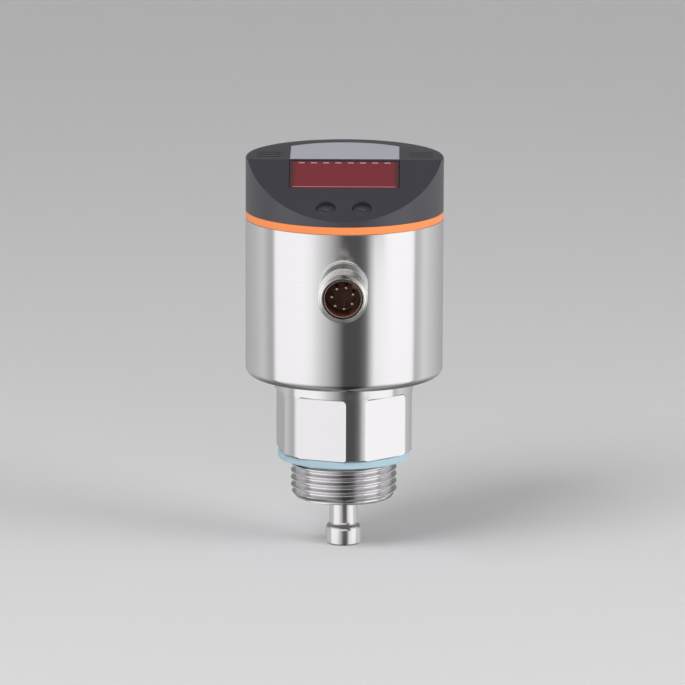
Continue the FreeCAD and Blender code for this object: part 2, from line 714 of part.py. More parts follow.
def make_feedthrough():
    """Two insulators, an O-ring and a nut hold the probe in the fitting and keep it apart from the steel."""
    rod_bore = D["rod_radius"] + D["slip_gap"]
    bottom = D["insulator_recess"] - D["thread_length"]
    body = new_body("feedthrough_insulator")
    turn(body, "insulator", (
        (rod_bore, bottom),
        (D["insulator_radius"], bottom),
        (D["insulator_radius"], D["insulator_flange_top"]),
        (D["insulator_stem"], D["insulator_flange_top"]),
        (D["insulator_stem"], D["stem_top"]),
        (rod_bore, D["stem_top"]),
    ))
    section = D["stem_seal_section"]
    ring_groove(body, "stem_seal_groove", D["insulator_stem"], D["stem_seal_height"], section)
    node(body, "feedthrough_insulator")
    o_ring("stem_o_ring", D["insulator_stem"] - section, D["stem_seal_height"], section)
    turned_piece("insulator_bush", (
        (rod_bore, D["stem_top"]),
        (CAVITY_RADIUS - D["slip_gap"], D["stem_top"]),
        (CAVITY_RADIUS - D["slip_gap"], BUSH_TOP),
        (rod_bore, BUSH_TOP),
    ))
    make_rod_nut(rod_bore)


def make_rod_nut(rod_bore):
    body = new_body("rod_nut")
    sketch = new_sketch(body, "rod_nut_outline", "XY_Plane", lift=BUSH_TOP)
    corner = D["nut_across"] / 2 / cosine(30)
    draw_outline(sketch, [(corner * cosine(60 * turn_count), corner * sine(60 * turn_count))
                          for turn_count in range(6)])
    pad(body, "rod_nut_blank", sketch, D["nut_height"])
    hole = new_sketch(body, "rod_nut_bore", "XY_Plane", lift=NUT_TOP)
    draw_circle(hole, 0, 0, rod_bore)
    pocket(body, "rod_nut_hole", hole)
    node(body, "rod_nut")


def make_swivel_pieces():
    """The O-ring, the stop washer and the retaining ring that hold the head on the spigot."""
    section = D["o_ring_section"]
    o_ring("swivel_o_ring", D["spigot_radius"] - section, CAN_BOTTOM + D["o_ring_lift"], section)
    body = new_body("stop_washer")
    inner = D["spigot_radius"] + D["slip_gap"]
    turn(body, "washer", (
        (inner, WASHER_BASE),
        (WASHER_RADIUS, WASHER_BASE),
        (WASHER_RADIUS, CIRCLIP_BASE),
        (inner, CIRCLIP_BASE),
    ))
    tab = new_sketch(body, "stop_tab_outline", "XY_Plane", lift=WASHER_BASE)
    half = D["stop_tab_width"] / 2
    draw_box(tab, -half, half, WASHER_RADIUS - OVERLAP, STOP_PLACE + D["stop_pin_radius"])
    pad(body, "stop_tab", tab, D["washer_thickness"])
    node(body, "stop_washer")
    ring = turned_ring_with_opening()
    node(ring, "retaining_ring")


def turned_ring_with_opening():
    body = new_body("retaining_ring")
    inner = D["spigot_radius"] - D["circlip_depth"] + D["slip_gap"]
    top = CIRCLIP_BASE + D["circlip_thickness"]
    turn(body, "circlip", (
        (inner, CIRCLIP_BASE),
        (CIRCLIP_RADIUS, CIRCLIP_BASE),
        (CIRCLIP_RADIUS, top),
        (inner, top),
    ))
    reach = CIRCLIP_RADIUS + OVERCUT
    spread = reach * tangent(D["circlip_opening"] / 2)
    wedge = new_sketch(body, "circlip_opening", "XY_Plane", lift=top)
    draw_outline(wedge, ((0, 0), (reach, -spread), (reach, spread)))
    pocket(body, "circlip_gap", wedge, D["circlip_thickness"])
    return body


# The steel housing and what stands in it.

def make_housing_can():
    """The drawn steel housing with its swivel hub, the plug's hole and the stop pin's hole."""
    body = new_body("housing_can")
    blank = turn(body, "can", (
        (HUB_BORE, CAN_BOTTOM),
        (D["can_radius"], CAN_BOTTOM),
        (D["can_radius"], CAN_TOP),
        (CAN_BORE, CAN_TOP),
        (CAN_BORE, FLOOR_TOP),
        (HUB_RADIUS, FLOOR_TOP),
        (HUB_RADIUS, HUB_TOP),
        (HUB_BORE, HUB_TOP),
    ))
    round_edges(body, "can_lower_edge", blank,
                lambda edge: is_ring(edge, D["can_radius"], CAN_BOTTOM), D["can_edge"])
    hole = new_sketch(body, "plug_hole_outline")
    draw_circle(hole, 0, PLUG_HEIGHT, D["plug_neck"] + D["slip_gap"])
    pocket(body, "plug_hole", hole, backwards=True)
    stop = new_sketch(body, "stop_hole_outline", "XY_Plane", lift=HUB_TOP)
    draw_circle(stop, 0, -STOP_PLACE, D["stop_pin_radius"])
    pocket(body, "stop_hole", stop, D["stop_pin_depth"])
    return node(body, "housing_can")


def make_stop_pin():
    length = CIRCLIP_BASE - HUB_TOP + D["stop_pin_depth"]
    pin = cylinder("stop_pin", D["stop_pin_radius"], length, 0, -STOP_PLACE,
                   HUB_TOP - D["stop_pin_depth"])
    return node(pin, "stop_pin")


def rail_box(side, spare=0):
    """Low corner and size of a board rail's plan, grown by a spare gap."""
    inner = RAIL_OUTSIDE - D["rail_width"] - spare
    outer = RAIL_OUTSIDE + spare
    low = inner if side > 0 else -outer
    return low, RAIL_MIDDLE - D["rail_depth"] / 2 - spare, outer - inner, D["rail_depth"] + spare * 2


def make_board_carrier():
    """A moulded seat for the measuring board with two slotted rails for the main board."""
    body = new_body("carrier_seat_body")
    outer = SKIRT_RADIUS
    inner = outer - D["carrier_wall"]
    bore = SENSOR_BOARD_RADIUS - D["carrier_ledge"]
    seat = CARRIER_TOP - D["carrier_seat"]
    turn(body, "carrier_seat", (
        (bore, seat),
        (inner, seat),
        (inner, FLOOR_TOP),
        (outer, FLOOR_TOP),
        (outer, CARRIER_TOP),
        (bore, CARRIER_TOP),
    ))
    rails = []
    base = seat + D["carrier_seat"] / 2
    rail_top = MAIN_BOARD_TOP - D["rail_drop"]
    for word, side in SIDES:
        low_x, low_y, size_x, size_y = rail_box(side)
        rails.append(block(word + "_rail", (low_x, low_y, base), (size_x, size_y, rail_top - base)))
    half_slot = MAIN_BOARD_HALF + D["slip_gap"]
    slots = block("board_slots", (-half_slot, D["main_board_back"], BOARD_TOP),
                  (half_slot * 2, D["board_thickness"], rail_top - BOARD_TOP + OVERCUT))
    carrier = cut("board_carrier", fuse("carrier_with_rails", body, *rails), slots)
    return node(carrier, "board_carrier")


def make_boards():
    """The round measuring board, notched for the rails, and the upright main board."""
    disc = cylinder("sensor_board_disc", SENSOR_BOARD_RADIUS, D["board_thickness"], base=CARRIER_TOP)
    notches = []
    for word, side in SIDES:
        low_x, low_y, size_x, size_y = rail_box(side, spare=D["notch_gap"])
        notches.append(block(word + "_notch", (low_x, low_y, CARRIER_TOP - OVERCUT),
                             (size_x, size_y, D["board_thickness"] + OVERCUT * 2)))
    node(cut("sensor_board", disc, *notches), "sensor_board")
    main = block("main_board", (-MAIN_BOARD_HALF, D["main_board_back"], BOARD_TOP),
                 (MAIN_BOARD_HALF * 2, D["board_thickness"], MAIN_BOARD_TOP - BOARD_TOP))
    node(main, "main_board")


def make_contact_socket():
    """A spring socket under the measuring board that the probe's contact pin turns in."""
    bore = D["contact_radius"] + D["running_gap"]
    shell = bore + D["socket_wall"]
    return turned_piece("contact_socket", (
        (bore, SOCKET_BOTTOM),
        (shell, SOCKET_BOTTOM),
        (shell, CARRIER_TOP),
        (0, CARRIER_TOP),
        (0, SOCKET_BORE_END),
        (bore, SOCKET_BORE_END),
    ))


# The plug connector, drawn upright about the Z axis and then laid to the front.

def make_connector_shell():
    """The threaded plug body: weld flange, neck, undercut and thread, with a plain bore."""
    body = new_body("connector_blank")
    flange_start = D["can_radius"] - D["plug_flange_length"] / 2
    flange_end = D["can_radius"] + D["plug_flange_length"]
    thread_start = PLUG_FACE - D["plug_thread"]
    bevel = D["plug_chamfer"]
    turn(body, "connector", (
        (D["plug_bore"], PLUG_TAIL),
        (D["plug_neck"], PLUG_TAIL),
        (D["plug_neck"], flange_start),
        (D["plug_flange"], flange_start),
        (D["plug_flange"], flange_end),
        (D["plug_neck"], flange_end),
        (D["plug_neck"], thread_start - D["plug_groove_length"] - bevel),
        (D["plug_groove"], thread_start - D["plug_groove_length"]),
        (D["plug_groove"], thread_start),
        (D["plug_radius"], thread_start),
        (D["plug_radius"], PLUG_FACE - bevel),
        (D["plug_radius"] - bevel, PLUG_FACE),
        (D["plug_bore"], PLUG_FACE),
    ))
    lay_on_plug_axis(body)
    can = cylinder("can_outside", D["can_radius"], D["can_height"], base=CAN_BOTTOM)
    core = lay_on_plug_axis(doc.addObject("Part::Cylinder", "neck_outside"))
    drive(core, Radius=D["plug_neck"], Height=PLUG_FACE)
    return node(cut("connector_shell", body, cut("flange_seat", can, core)), "connector_shell")


def make_connector_pins():
    """The contacts, evenly spaced on a circle."""
    length = PLUG_FACE - D["pin_recess"] - PLUG_TAIL + D["pin_tail"]
    pins = []
    for count in range(PIN_COUNT):
        angle = D["pin_turn"] + 360 / PIN_COUNT * count
        pin = lay_on_plug_axis(cylinder(f"contact_{count}", D["pin_radius"], length))
        drive(pin, Placement_Base_x=D["pin_circle"] * cosine(angle),
              Placement_Base_y=D["pin_tail"] - PLUG_TAIL,
              Placement_Base_z=PLUG_HEIGHT + D["pin_circle"] * sine(angle))
        pins.append(pin)
    return node(group("connector_pins", *pins), "connector_pins")


def make_connector_insert(pins):
    """The insulating cup that carries the contacts, with its key rib and its O-ring."""
    body = new_body("insert_blank")
    outer = D["plug_bore"] - D["slip_gap"]
    inner = outer - D["insert_wall"]
    mouth = PLUG_FACE - D["insert_recess"]
    turn(body, "insert", (
        (0, PLUG_TAIL),
        (outer, PLUG_TAIL),
        (outer, mouth),
        (inner, mouth),
        (inner, INSERT_FLOOR),
        (0, INSERT_FLOOR),
    ))
    section = D["insert_seal_section"]
    seal_height = (PLUG_TAIL + INSERT_FLOOR) / 2
    ring_groove(body, "insert_seal_groove", outer, seal_height, section)
    key = new_sketch(body, "key_outline", "XY_Plane", lift=INSERT_FLOOR - D["key_recess"])
    turned = D["key_angle"]
    corners = []
    for out, aside in ((inner - D["key_height"], -0.5), (inner + OVERLAP, -0.5),
                       (inner + OVERLAP, 0.5), (inner - D["key_height"], 0.5)):
        across = out * cosine(turned) - D["key_width"] * aside * sine(turned)
        up = out * sine(turned) + D["key_width"] * aside * cosine(turned)
        corners.append((across, up))
    draw_outline(key, corners)
    pad(body, "key", key, mouth - INSERT_FLOOR)
    lay_on_plug_axis(body)
    node(cut("connector_insert", body, pins), "connector_insert")
    seal = new_body("insert_o_ring")
    turn_ring(seal, "insert_o_ring", outer - section, seal_height, section)
    node(lay_on_plug_axis(seal), "insert_o_ring")


# The trim ring and the display cap.

def make_trim_ring():
    return turned_piece("trim_ring", (
        (CAN_BORE, CAN_TOP),
        (D["can_radius"], CAN_TOP),
        (D["can_radius"], TRIM_TOP),
        (CAN_BORE, TRIM_TOP),
    ))


def sloped_drum(name, radius, bottom, top, inset):
    """A drum whose top falls away along the face, moved inwards from the cap's outside by the inset."""
    body = new_body(name)
    disc = new_sketch(body, name + "_disc", "XY_Plane", lift=bottom)
    draw_circle(disc, 0, 0, radius)
    pad(body, name + "_drum", disc, top - bottom)
    crease = inset * tangent(D["face_slope"] / 2) - CREASE
    reach = D["can_radius"] + OVERCUT
    side = new_sketch(body, name + "_slope", "YZ_Plane")
    drop = (reach + crease) * tangent(D["face_slope"])
    draw_outline(side, ((-reach, top - drop), (crease, top),
                        (crease, top + OVERCUT), (-reach, top + OVERCUT)))
    return body, side


def make_cap_shell():
    """The hollow cap: flat at the back, sloped in front, with a skirt that plugs into the housing."""
    body, side = sloped_drum("cap_outside", D["can_radius"], TRIM_TOP, CAP_TOP, as_size(0))
    slope = pocket(body, "cap_slope", side, both_ways=True)
    round_edges(body, "cap_rim", slope,
                lambda edge: is_ring(edge, D["can_radius"], CAP_TOP), D["cap_edge"])
    wall = D["cap_wall"]
    hollow, side = sloped_drum("cap_inside", D["can_radius"] - wall, TRIM_TOP - OVERCUT, CAP_TOP - wall, wall)
    pocket(hollow, "hollow_slope", side, both_ways=True)
    skirt = new_body("cap_skirt")
    skirt_top = TRIM_TOP + wall / 2
    turn(skirt, "skirt", (
        (SKIRT_RADIUS - D["skirt_wall"], SKIRT_BOTTOM),
        (SKIRT_RADIUS, SKIRT_BOTTOM),
        (SKIRT_RADIUS, skirt_top),
        (SKIRT_RADIUS - D["skirt_wall"], skirt_top),
    ))
    section = D["cap_seal_section"]
    ring_groove(skirt, "cap_seal_groove", SKIRT_RADIUS, TRIM_TOP - D["cap_seal_drop"], section)
    o_ring("cap_o_ring", SKIRT_RADIUS - section, TRIM_TOP - D["cap_seal_drop"], section)
    return fuse("cap_with_skirt", cut("cap_shell", body, hollow), skirt)


def face_plate(name, half_width, low, high, bottom, top, corner=None):
    """A plate in the face's own frame, from a depth below the face to another, with two round corners."""
    body = new_body(name)
    sketch = new_sketch(body, name + "_outline", "XY_Plane", lift=bottom)
    if corner is None:
        draw_box(sketch, -half_width, half_width, low, high)
    else:
        draw_rounded_box(sketch, -half_width, half_width, low, high, corner, rounded=(0, 1))
    pad(body, name + "_pad", sketch, top - bottom)
    return lay_on_face(body)


def face_cylinder(name, radius, across, up, bottom, top):
    """A round pin in the face's own frame."""
    body = new_body(name)
    sketch = new_sketch(body, name + "_outline", "XY_Plane", lift=bottom)
    draw_circle(sketch, across, up, radius)
    pad(body, name + "_pad", sketch, top - bottom)
    return lay_on_face(body)


def window_tools():
    """The seat that holds the window and the opening behind it."""
    gap = D["window_gap"]
    half = WINDOW_HALF
    low = -D["window_top"] - D["window_length"]
    seat = face_plate("window_seat", half + gap, low - gap, gap - D["window_top"],
                      -WINDOW_UNDERSIDE, as_size(OVERCUT), corner=D["window_corner"])
    opening = face_plate("window_opening", half - D["window_ledge"], low + D["window_ledge"],
                         -D["window_top"] - D["window_lip"], -D["cap_wall"] * 2, as_size(0))
    return seat, opening


def button_tools():
    """The button wells and the counterbores of their O-rings."""
    tools = []
    wall = D["cap_wall"]
    for word, side in SIDES:
        across, up = button_place(side)
        bore = D["button_radius"] + D["running_gap"]
        tools.append(face_cylinder(word + "_well", bore, across, up, -wall * 2, as_size(OVERCUT)))
        seal = D["button_seal_section"] * 2
        tools.append(face_cylinder(word + "_seal_seat", bore + seal + D["slip_gap"], across, up,
                                   -wall * 2, seal - wall))
    return tools


def label_outline(sketch, spare):
    """The label's outline: straight in front and at the sides, with a round rear edge."""
    half = D["can_radius"] - D["label_side"] + spare
    front = D["label_front"] - CREASE - spare
    rear = D["can_radius"] - D["label_rear"] + spare
    side_end = root(rear * rear - half * half)
    corners = ((-half, front), (half, front), (half, side_end), (-half, side_end))
    points = [Vector(float(across), float(up), 0) for across, up in corners]
    for here in range(3):
        start, end = (3, 0) if here == 2 else (here, here + 1)
        sketch.addGeometry(Part.LineSegment(points[start], points[end]))
    sketch.addGeometry(Part.Arc(points[2], Vector(0, rear.number, 0), points[3]))
    for first, second in (((0, 2), (1, 1)), ((1, 2), (3, 1)), ((3, 2), (2, 1)), ((2, 2), (0, 1))):
        sketch.addConstraint(Sketcher.Constraint("Coincident", first[0], first[1], second[0], second[1]))
    for edge, place in ((0, 0), (1, 1), (3, 2), (2, 3)):
        pin_point(sketch, edge, 1, *corners[place])
    number = sketch.addConstraint(Sketcher.Constraint("Radius", 3, rear.number))
    sketch.setExpression(f"Constraints[{number}]", rear.formula)


def make_label_plate():
    body = new_body("label_plate")
    underside = CAP_TOP + D["label_proud"] - D["label_thickness"]
    sketch = new_sketch(body, "label_outline", "XY_Plane", lift=underside)
    label_outline(sketch, as_size(0))
    pad(body, "label_pad", sketch, D["label_thickness"])
    return node(body, "label_plate")


def top_tools():
    """The label's recess and the grip grooves in the flat top."""
    recess = new_body("label_recess")
    underside = CAP_TOP + D["label_proud"] - D["label_thickness"]
    sketch = new_sketch(recess, "recess_outline", "XY_Plane", lift=underside)
    label_outline(sketch, D["slip_gap"])
    pad(recess, "recess_pad", sketch, D["label_thickness"] + OVERCUT)
    tools = [recess]
    outer = D["can_radius"] - D["groove_side"]
    for word, side in SIDES:
        start = outer - D["groove_length"] if side > 0 else -outer
        for count in range(GROOVE_COUNT):
            middle = D["groove_first"] - CREASE + D["groove_pitch"] * count
            tools.append(block(f"{word}_groove_{count}",
                               (start, middle - D["groove_width"] / 2, CAP_TOP - D["groove_depth"]),
                               (D["groove_length"], D["groove_width"], D["groove_depth"] + OVERCUT)))
    return tools


def make_display_cap():
    """The moulded cap with its window seat, button wells, grip grooves and screw posts."""
    shell = make_cap_shell()
    posts = []
    holes = []
    for word, side in SIDES:
        across = POST_PLACE * side
        posts.append(face_cylinder(word + "_post", D["post_radius"], across, -D["post_down"],
                                   -D["board_depth"], -D["cap_wall"] / 2))
        holes.append(face_cylinder(word + "_post_hole", D["screw_radius"], across, -D["post_down"],
                                   -D["board_depth"] - OVERCUT,
                                   D["screw_length"] - D["board_depth"] - D["board_thickness"]))
    tools = [*window_tools(), *button_tools(), *top_tools(), *holes]
    cap = cut("display_cap", fuse("cap_with_posts", shell, *posts), *tools)
    return node(cap, "display_cap")


# The display, its board, its lights and the two buttons, in the face's own frame.

def make_display_window():
    low = -D["window_top"] - D["window_length"]
    window = face_plate("display_window", WINDOW_HALF, low, -D["window_top"], -WINDOW_UNDERSIDE,
                        -D["window_sink"], corner=D["window_corner"])
    return node(window, "display_window")


def make_display_board():
    """The board that follows the face, narrower towards the front, hung on two screws."""
    body = new_body("display_board_blank")
    top = -D["board_depth"]
    sketch = new_sketch(body, "display_board_outline", "XY_Plane", lift=top - D["board_thickness"])
    half = POST_PLACE + D["post_radius"] + D["board_margin"]
    nose = D["button_apart"] / 2 + D["switch_size"] / 2 + D["board_nose_margin"]
    rear = -D["board_rear"]
    shoulder = -D["post_down"] - D["post_radius"]
    front = -D["button_down"] - D["switch_size"] / 2 - D["board_lip"]
    draw_outline(sketch, ((-half, rear), (-half, shoulder), (-nose, front),
                          (nose, front), (half, shoulder), (half, rear)))
    pad(body, "display_board_pad", sketch, D["board_thickness"])
    lay_on_face(body)
    holes = []
    screws = []
    for word, side in SIDES:
        across = POST_PLACE * side
        under = top - D["board_thickness"]
        head_end = under - D["screw_head_height"]
        holes.append(face_cylinder(word + "_board_hole", D["screw_radius"] + D["slip_gap"], across,
                                   -D["post_down"], under - OVERCUT, top + OVERCUT))
        shank = face_cylinder(word + "_screw_shank", D["screw_radius"], across, -D["post_down"],
                              under - OVERLAP, under + D["screw_length"])
        head = face_cylinder(word + "_screw_head", D["screw_head"], across, -D["post_down"],
                             head_end, under)
        screws.append(fuse(word + "_screw", shank, head))
    node(cut("display_board", body, *holes), "display_board")
    node(group("display_screws", *screws), "display_screws")


def make_digit_display():
    middle = -D["window_top"] - D["window_length"] / 2 - D["digit_shift"]
    half = D["digit_length"] / 2
    display = face_plate("digit_display", WINDOW_HALF - D["digit_inset"], middle - half, middle + half,
                         -D["board_depth"], D["digit_height"] - D["board_depth"])
    return node(display, "digit_display")


def make_indicator_leds():
    """A row of small lights under the upper edge of the window."""
    lights = []
    top = -WINDOW_UNDERSIDE - D["led_gap"]
    pitch = ((WINDOW_HALF - D["led_inset"]) * 2 - D["led_width"]) / (LED_COUNT - 1)
    for count in range(LED_COUNT):
        across = pitch * (count - (LED_COUNT - 1) / 2)
        body = new_body(f"led_{count}")
        sketch = new_sketch(body, f"led_outline_{count}", "XY_Plane", lift=-D["board_depth"])
        half_width, half_length = D["led_width"] / 2, D["led_length"] / 2
        draw_box(sketch, across - half_width, across + half_width,
                 -D["led_down"] - half_length, half_length - D["led_down"])
        pad(body, f"led_pad_{count}", sketch, top + D["board_depth"])
        lights.append(lay_on_face(body))
    return node(group("indicator_leds", *lights), "indicator_leds")


def make_button(word, side):
    """A finger button with a tilted face, a collar behind the wall, a stem and its O-ring."""
    across, up = button_place(side)
    collar_end = -COLLAR_DEPTH - D["button_collar"]
    finger = face_cylinder(word + "_finger", D["button_radius"], across, up, collar_end, as_size(0))
    collar = face_cylinder(word + "_collar", D["button_radius"] + D["button_skirt"], across, up,
                           collar_end, -COLLAR_DEPTH)
    stem = face_cylinder(word + "_stem", D["button_stem"], across, up, -STEM_END, collar_end + OVERLAP)
    tilt = new_body(word + "_tilt")
    side_view = new_sketch(tilt, word + "_tilt_outline", "YZ_Plane")
    low = up - D["button_radius"] - OVERLAP
    high = up + D["button_radius"] + OVERLAP
    edge = -D["button_sink"]
    drop = (high - low) * tangent(D["button_tilt"])
    draw_outline(side_view, ((low, edge), (high, edge - drop), (high, OVERCUT), (low, OVERCUT)))
    cutter = pad(tilt, word + "_tilt_pad", side_view, D["button_apart"] + D["button_radius"] * 4)
    cutter.Midplane = True
    lay_on_face(tilt)
    button = cut(word + "_button", fuse(word + "_button_blank", finger, collar, stem), tilt)
    node(button, word + "_button")
    seal = new_body(word + "_button_seal")
    section = D["button_seal_section"]
    turn_ring(seal, word + "_button_seal", D["button_radius"] + D["running_gap"] + section,
              section - D["cap_wall"], section)
    carry_to_button(seal, across, up)
    node(seal, word + "_button_seal")


def carry_to_button(item, across, up):
    """Move a piece drawn about the Z axis to a button's axis."""
    lay_on_face(item)
    slope = D["face_slope"]
    drive(item, Placement_Base_x=across, Placement_Base_y=up * cosine(slope) - CREASE,
          Placement_Base_z=CAP_TOP + up * sine(slope))
    return item


def make_switch(word, side):
    """A push switch under a button, with a plunger that goes down with the button."""
    across, up = button_place(side)
    half = D["switch_size"] / 2
    body = new_body(word + "_switch")
    sketch = new_sketch(body, word + "_switch_outline", "XY_Plane", lift=-D["board_depth"])
    draw_box(sketch, across - half, across + half, up - half, up + half)
    pad(body, word + "_switch_pad", sketch, D["switch_height"])
    well = new_sketch(body, word + "_switch_well", "XY_Plane", lift=-SWITCH_TOP)
    draw_circle(well, across, up, D["plunger_radius"] + D["running_gap"])
    depth = D["switch_height"] - D["switch_base"]
    pocket(body, word + "_switch_hole", well, depth)
    lay_on_face(body)
    node(body, word + "_switch")
    plunger_end = D["button_travel"] + D["plunger_gap"] - SWITCH_TOP - depth
    plunger = face_cylinder(word + "_plunger", D["plunger_radius"], across, up, plunger_end, -STEM_END)
    node(plunger, word + "_plunger")


def check_document():
    """Stop on a failed object or an empty or broken solid."""
    for item in doc.Objects:
        if "Invalid" in item.State or "Error" in item.State:
            raise RuntimeError(f"{item.Label} failed: {item.State}")
    for item in nodes:
        if item.Shape.isNull() or not item.Shape.isValid() or not item.Shape.Solids:
            raise RuntimeError(f"{item.Label} has no sound solid")


make_process_fitting()
make_sealing_ring()
make_probe_stub()
make_feedthrough()
make_swivel_pieces()
make_housing_can()
make_stop_pin()
make_board_carrier()
make_boards()
make_contact_socket()
make_connector_shell()
make_connector_insert(make_connector_pins())
make_trim_ring()
make_display_cap()
make_display_window()
make_label_plate()
make_display_board()
make_digit_display()
make_indicator_leds()
for side_word, side_sign in SIDES:
    make_button(side_word, side_sign)
    make_switch(side_word, side_sign)
doc.recompute()
check_document()

os.makedirs("parts", exist_ok=True)
for item in nodes:
    item.Shape.exportStep(f"parts/{item.Label}.step")
    print(f"{item.Label:24} solids {len(item.Shape.Solids):2} volume {item.Shape.Volume:10.2f}")
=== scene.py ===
# %% [markdown]
# An electronic level sensor: a round satin steel head with a dark sloped cap, a small display,
# two push buttons and a round plug in front, on a threaded steel fitting with a probe stub.
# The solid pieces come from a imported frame, which also says which body each of them moves with.
# Modelling everything again would be one way. This lesson dresses the solids instead: turned and
# threaded surfaces are worked out with numpy, the rest keeps the solid's own mesh, and every
# finish is made from shader nodes.

# %% Load the frame
import json
import math

import bmesh
import bpy
import numpy as np
from mathutils import Matrix, Vector

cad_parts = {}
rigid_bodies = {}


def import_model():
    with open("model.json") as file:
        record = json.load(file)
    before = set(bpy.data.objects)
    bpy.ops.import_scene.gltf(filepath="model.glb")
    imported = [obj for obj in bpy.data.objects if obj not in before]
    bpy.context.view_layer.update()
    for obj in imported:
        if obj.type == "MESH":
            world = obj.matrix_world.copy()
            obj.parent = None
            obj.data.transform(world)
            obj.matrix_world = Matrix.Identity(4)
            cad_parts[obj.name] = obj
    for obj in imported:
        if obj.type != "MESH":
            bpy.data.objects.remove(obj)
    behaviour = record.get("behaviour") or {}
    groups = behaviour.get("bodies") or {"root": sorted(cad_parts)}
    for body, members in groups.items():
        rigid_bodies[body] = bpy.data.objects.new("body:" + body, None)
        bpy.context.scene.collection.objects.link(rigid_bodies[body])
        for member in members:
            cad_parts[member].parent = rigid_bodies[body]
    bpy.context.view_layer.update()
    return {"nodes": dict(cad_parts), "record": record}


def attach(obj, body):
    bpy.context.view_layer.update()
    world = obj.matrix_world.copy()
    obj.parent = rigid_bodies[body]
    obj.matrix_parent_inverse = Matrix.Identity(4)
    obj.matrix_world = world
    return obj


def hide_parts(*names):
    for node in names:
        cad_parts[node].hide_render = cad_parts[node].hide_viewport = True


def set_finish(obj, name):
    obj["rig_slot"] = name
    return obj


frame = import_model()
nodes = frame["nodes"]
MM = 0.001
print("pieces in the frame:", len(nodes))

# %% [markdown]
# A catalogue picture like this is taken from far away with a long lens, so that the round
# housing's sides stay parallel. The camera could be placed by eye. Here its place, its aim and
# its lens come from a fit to the edges of the housing, the ring, the cap and the probe, which
# gives about twelve degrees of height and half a degree to one side.

# %% Camera
CAMERA_PLACE = (0.01335, -1.48394, 0.33860)
CAMERA_AIM = (-0.00041, 0.0, 0.02870)
CAMERA_ROLL = math.radians(0.197)
FOCAL_PIXELS = 6097.7
PICTURE_PIXELS = 685
SENSOR_WIDTH = 36.0
NEAREST = 0.05


def aim_camera():
    """Point a camera's -Z axis at the aim, with its Y axis upwards, then roll it a little."""
    data = bpy.data.cameras.new("camera")
    data.sensor_width = SENSOR_WIDTH
    data.lens = FOCAL_PIXELS / PICTURE_PIXELS * SENSOR_WIDTH
    data.clip_start = NEAREST
    camera = bpy.data.objects.new("camera", data)
    bpy.context.scene.collection.objects.link(camera)
    look = Vector(CAMERA_AIM) - Vector(CAMERA_PLACE)
    turn = look.to_track_quat("-Z", "Y").to_matrix().to_4x4()
    roll = Matrix.Rotation(CAMERA_ROLL, 4, "Z")
    camera.matrix_world = Matrix.Translation(CAMERA_PLACE) @ turn @ roll
    bpy.context.scene.camera = camera
    print("lens in millimetres:", round(data.lens, 1))


aim_camera()

# %% [markdown]
# Nearly every piece of this sensor was turned on a lathe. Blender's screw modifier could spin a
# drawn line. A grid of points is used here, because it can also carry a thread or a milled flat:
# every row is a ring or a line, every column runs across the rows. These helpers turn such a grid
# into a mesh. Points that fall together, at a pole or along a seam, are merged, and the faces are
# turned outwards.

# %% Grids to meshes
SHARP_ANGLE = math.radians(28)
MERGE = 1e-7


def grid_faces(rows, columns, close_rows=False):
    """Four-cornered faces between neighbouring points of a grid, as rows of point numbers."""
    number = np.arange(rows * columns).reshape(rows, columns)
    if close_rows:
        number = np.vstack((number, number[:1]))
    low, high = number[:-1], number[1:]
    faces = np.stack((low[:, :-1], low[:, 1:], high[:, 1:], high[:, :-1]), axis=-1)
    return faces.reshape(-1, 4)


def stacked_faces(points):
    """Faces for a stack of equal grids."""
    one = grid_faces(*points.shape[1:3])
    step = points.shape[1] * points.shape[2]
    return (one[None] + step * np.arange(len(points))[:, None, None]).reshape(-1, 4)


def finish_mesh(mesh, sharp=SHARP_ANGLE):
    """Merge points that fall together, drop faces without area and turn the rest outwards."""
    work = bmesh.new()
    work.from_mesh(mesh)
    bmesh.ops.remove_doubles(work, verts=work.verts, dist=MERGE)
    bmesh.ops.dissolve_degenerate(work, edges=work.edges, dist=MERGE)
    bmesh.ops.recalc_face_normals(work, faces=work.faces)
    work.to_mesh(mesh)
    work.free()
    mesh.shade_smooth()
    mesh.set_sharp_from_angle(angle=sharp)


def new_piece(name, points, faces, sharp=SHARP_ANGLE):
    """An object at the origin whose place is in its mesh; points are in millimetres."""
    mesh = bpy.data.meshes.new(name)
    mesh.from_pydata((points.reshape(-1, 3) * MM).tolist(), [], faces.tolist())
    finish_mesh(mesh, sharp)
    piece = bpy.data.objects.new(name, mesh)
    bpy.context.scene.collection.objects.link(piece)
    return piece


def rounded(corners, steps=6):
    """A chain of (radius, height, rounding) corners made into points, round corners as arcs.

    The arc touches both edges; its middle lies on the line that halves the corner.
    """
    points = []
    for place, (radius, height, size) in enumerate(corners):
        here = np.array((radius, height), float)
        if size == 0 or place in (0, len(corners) - 1):
            points.append(here[None])
            continue
        before = np.array(corners[place - 1][:2], float) - here
        after = np.array(corners[place + 1][:2], float) - here
        before /= np.linalg.norm(before)
        after /= np.linalg.norm(after)
        half = math.acos(np.clip(before @ after, -1, 1)) / 2
        reach = size / math.tan(half)
        middle = here + (before + after) / np.linalg.norm(before + after) * size / math.sin(half)
        start = here + before * reach - middle
        end = here + after * reach - middle
        share = np.linspace(0, 1, steps)[:, None]
        sweep = math.pi - 2 * half
        arc = (np.sin((1 - share) * sweep) * start + np.sin(share * sweep) * end) / math.sin(sweep)
        points.append(middle + arc)
    return np.vstack(points)


def to_plug_axis(points, height):
    """Turn points about the Z axis so that the axis points to the front at a height."""
    x, y, z = points[..., 0], points[..., 1], points[..., 2]
    return np.stack((x, -z, y + height), axis=-1)


def lathe(profile, columns):
    """Carry a profile of (radius, height) round the Z axis: x = r cos a, y = r sin a."""
    angle = np.linspace(0, 2 * math.pi, columns + 1)
    radius, height = profile[:, :1], profile[:, 1:]
    return np.stack((radius * np.cos(angle), radius * np.sin(angle),
                     height + 0 * angle), axis=-1)


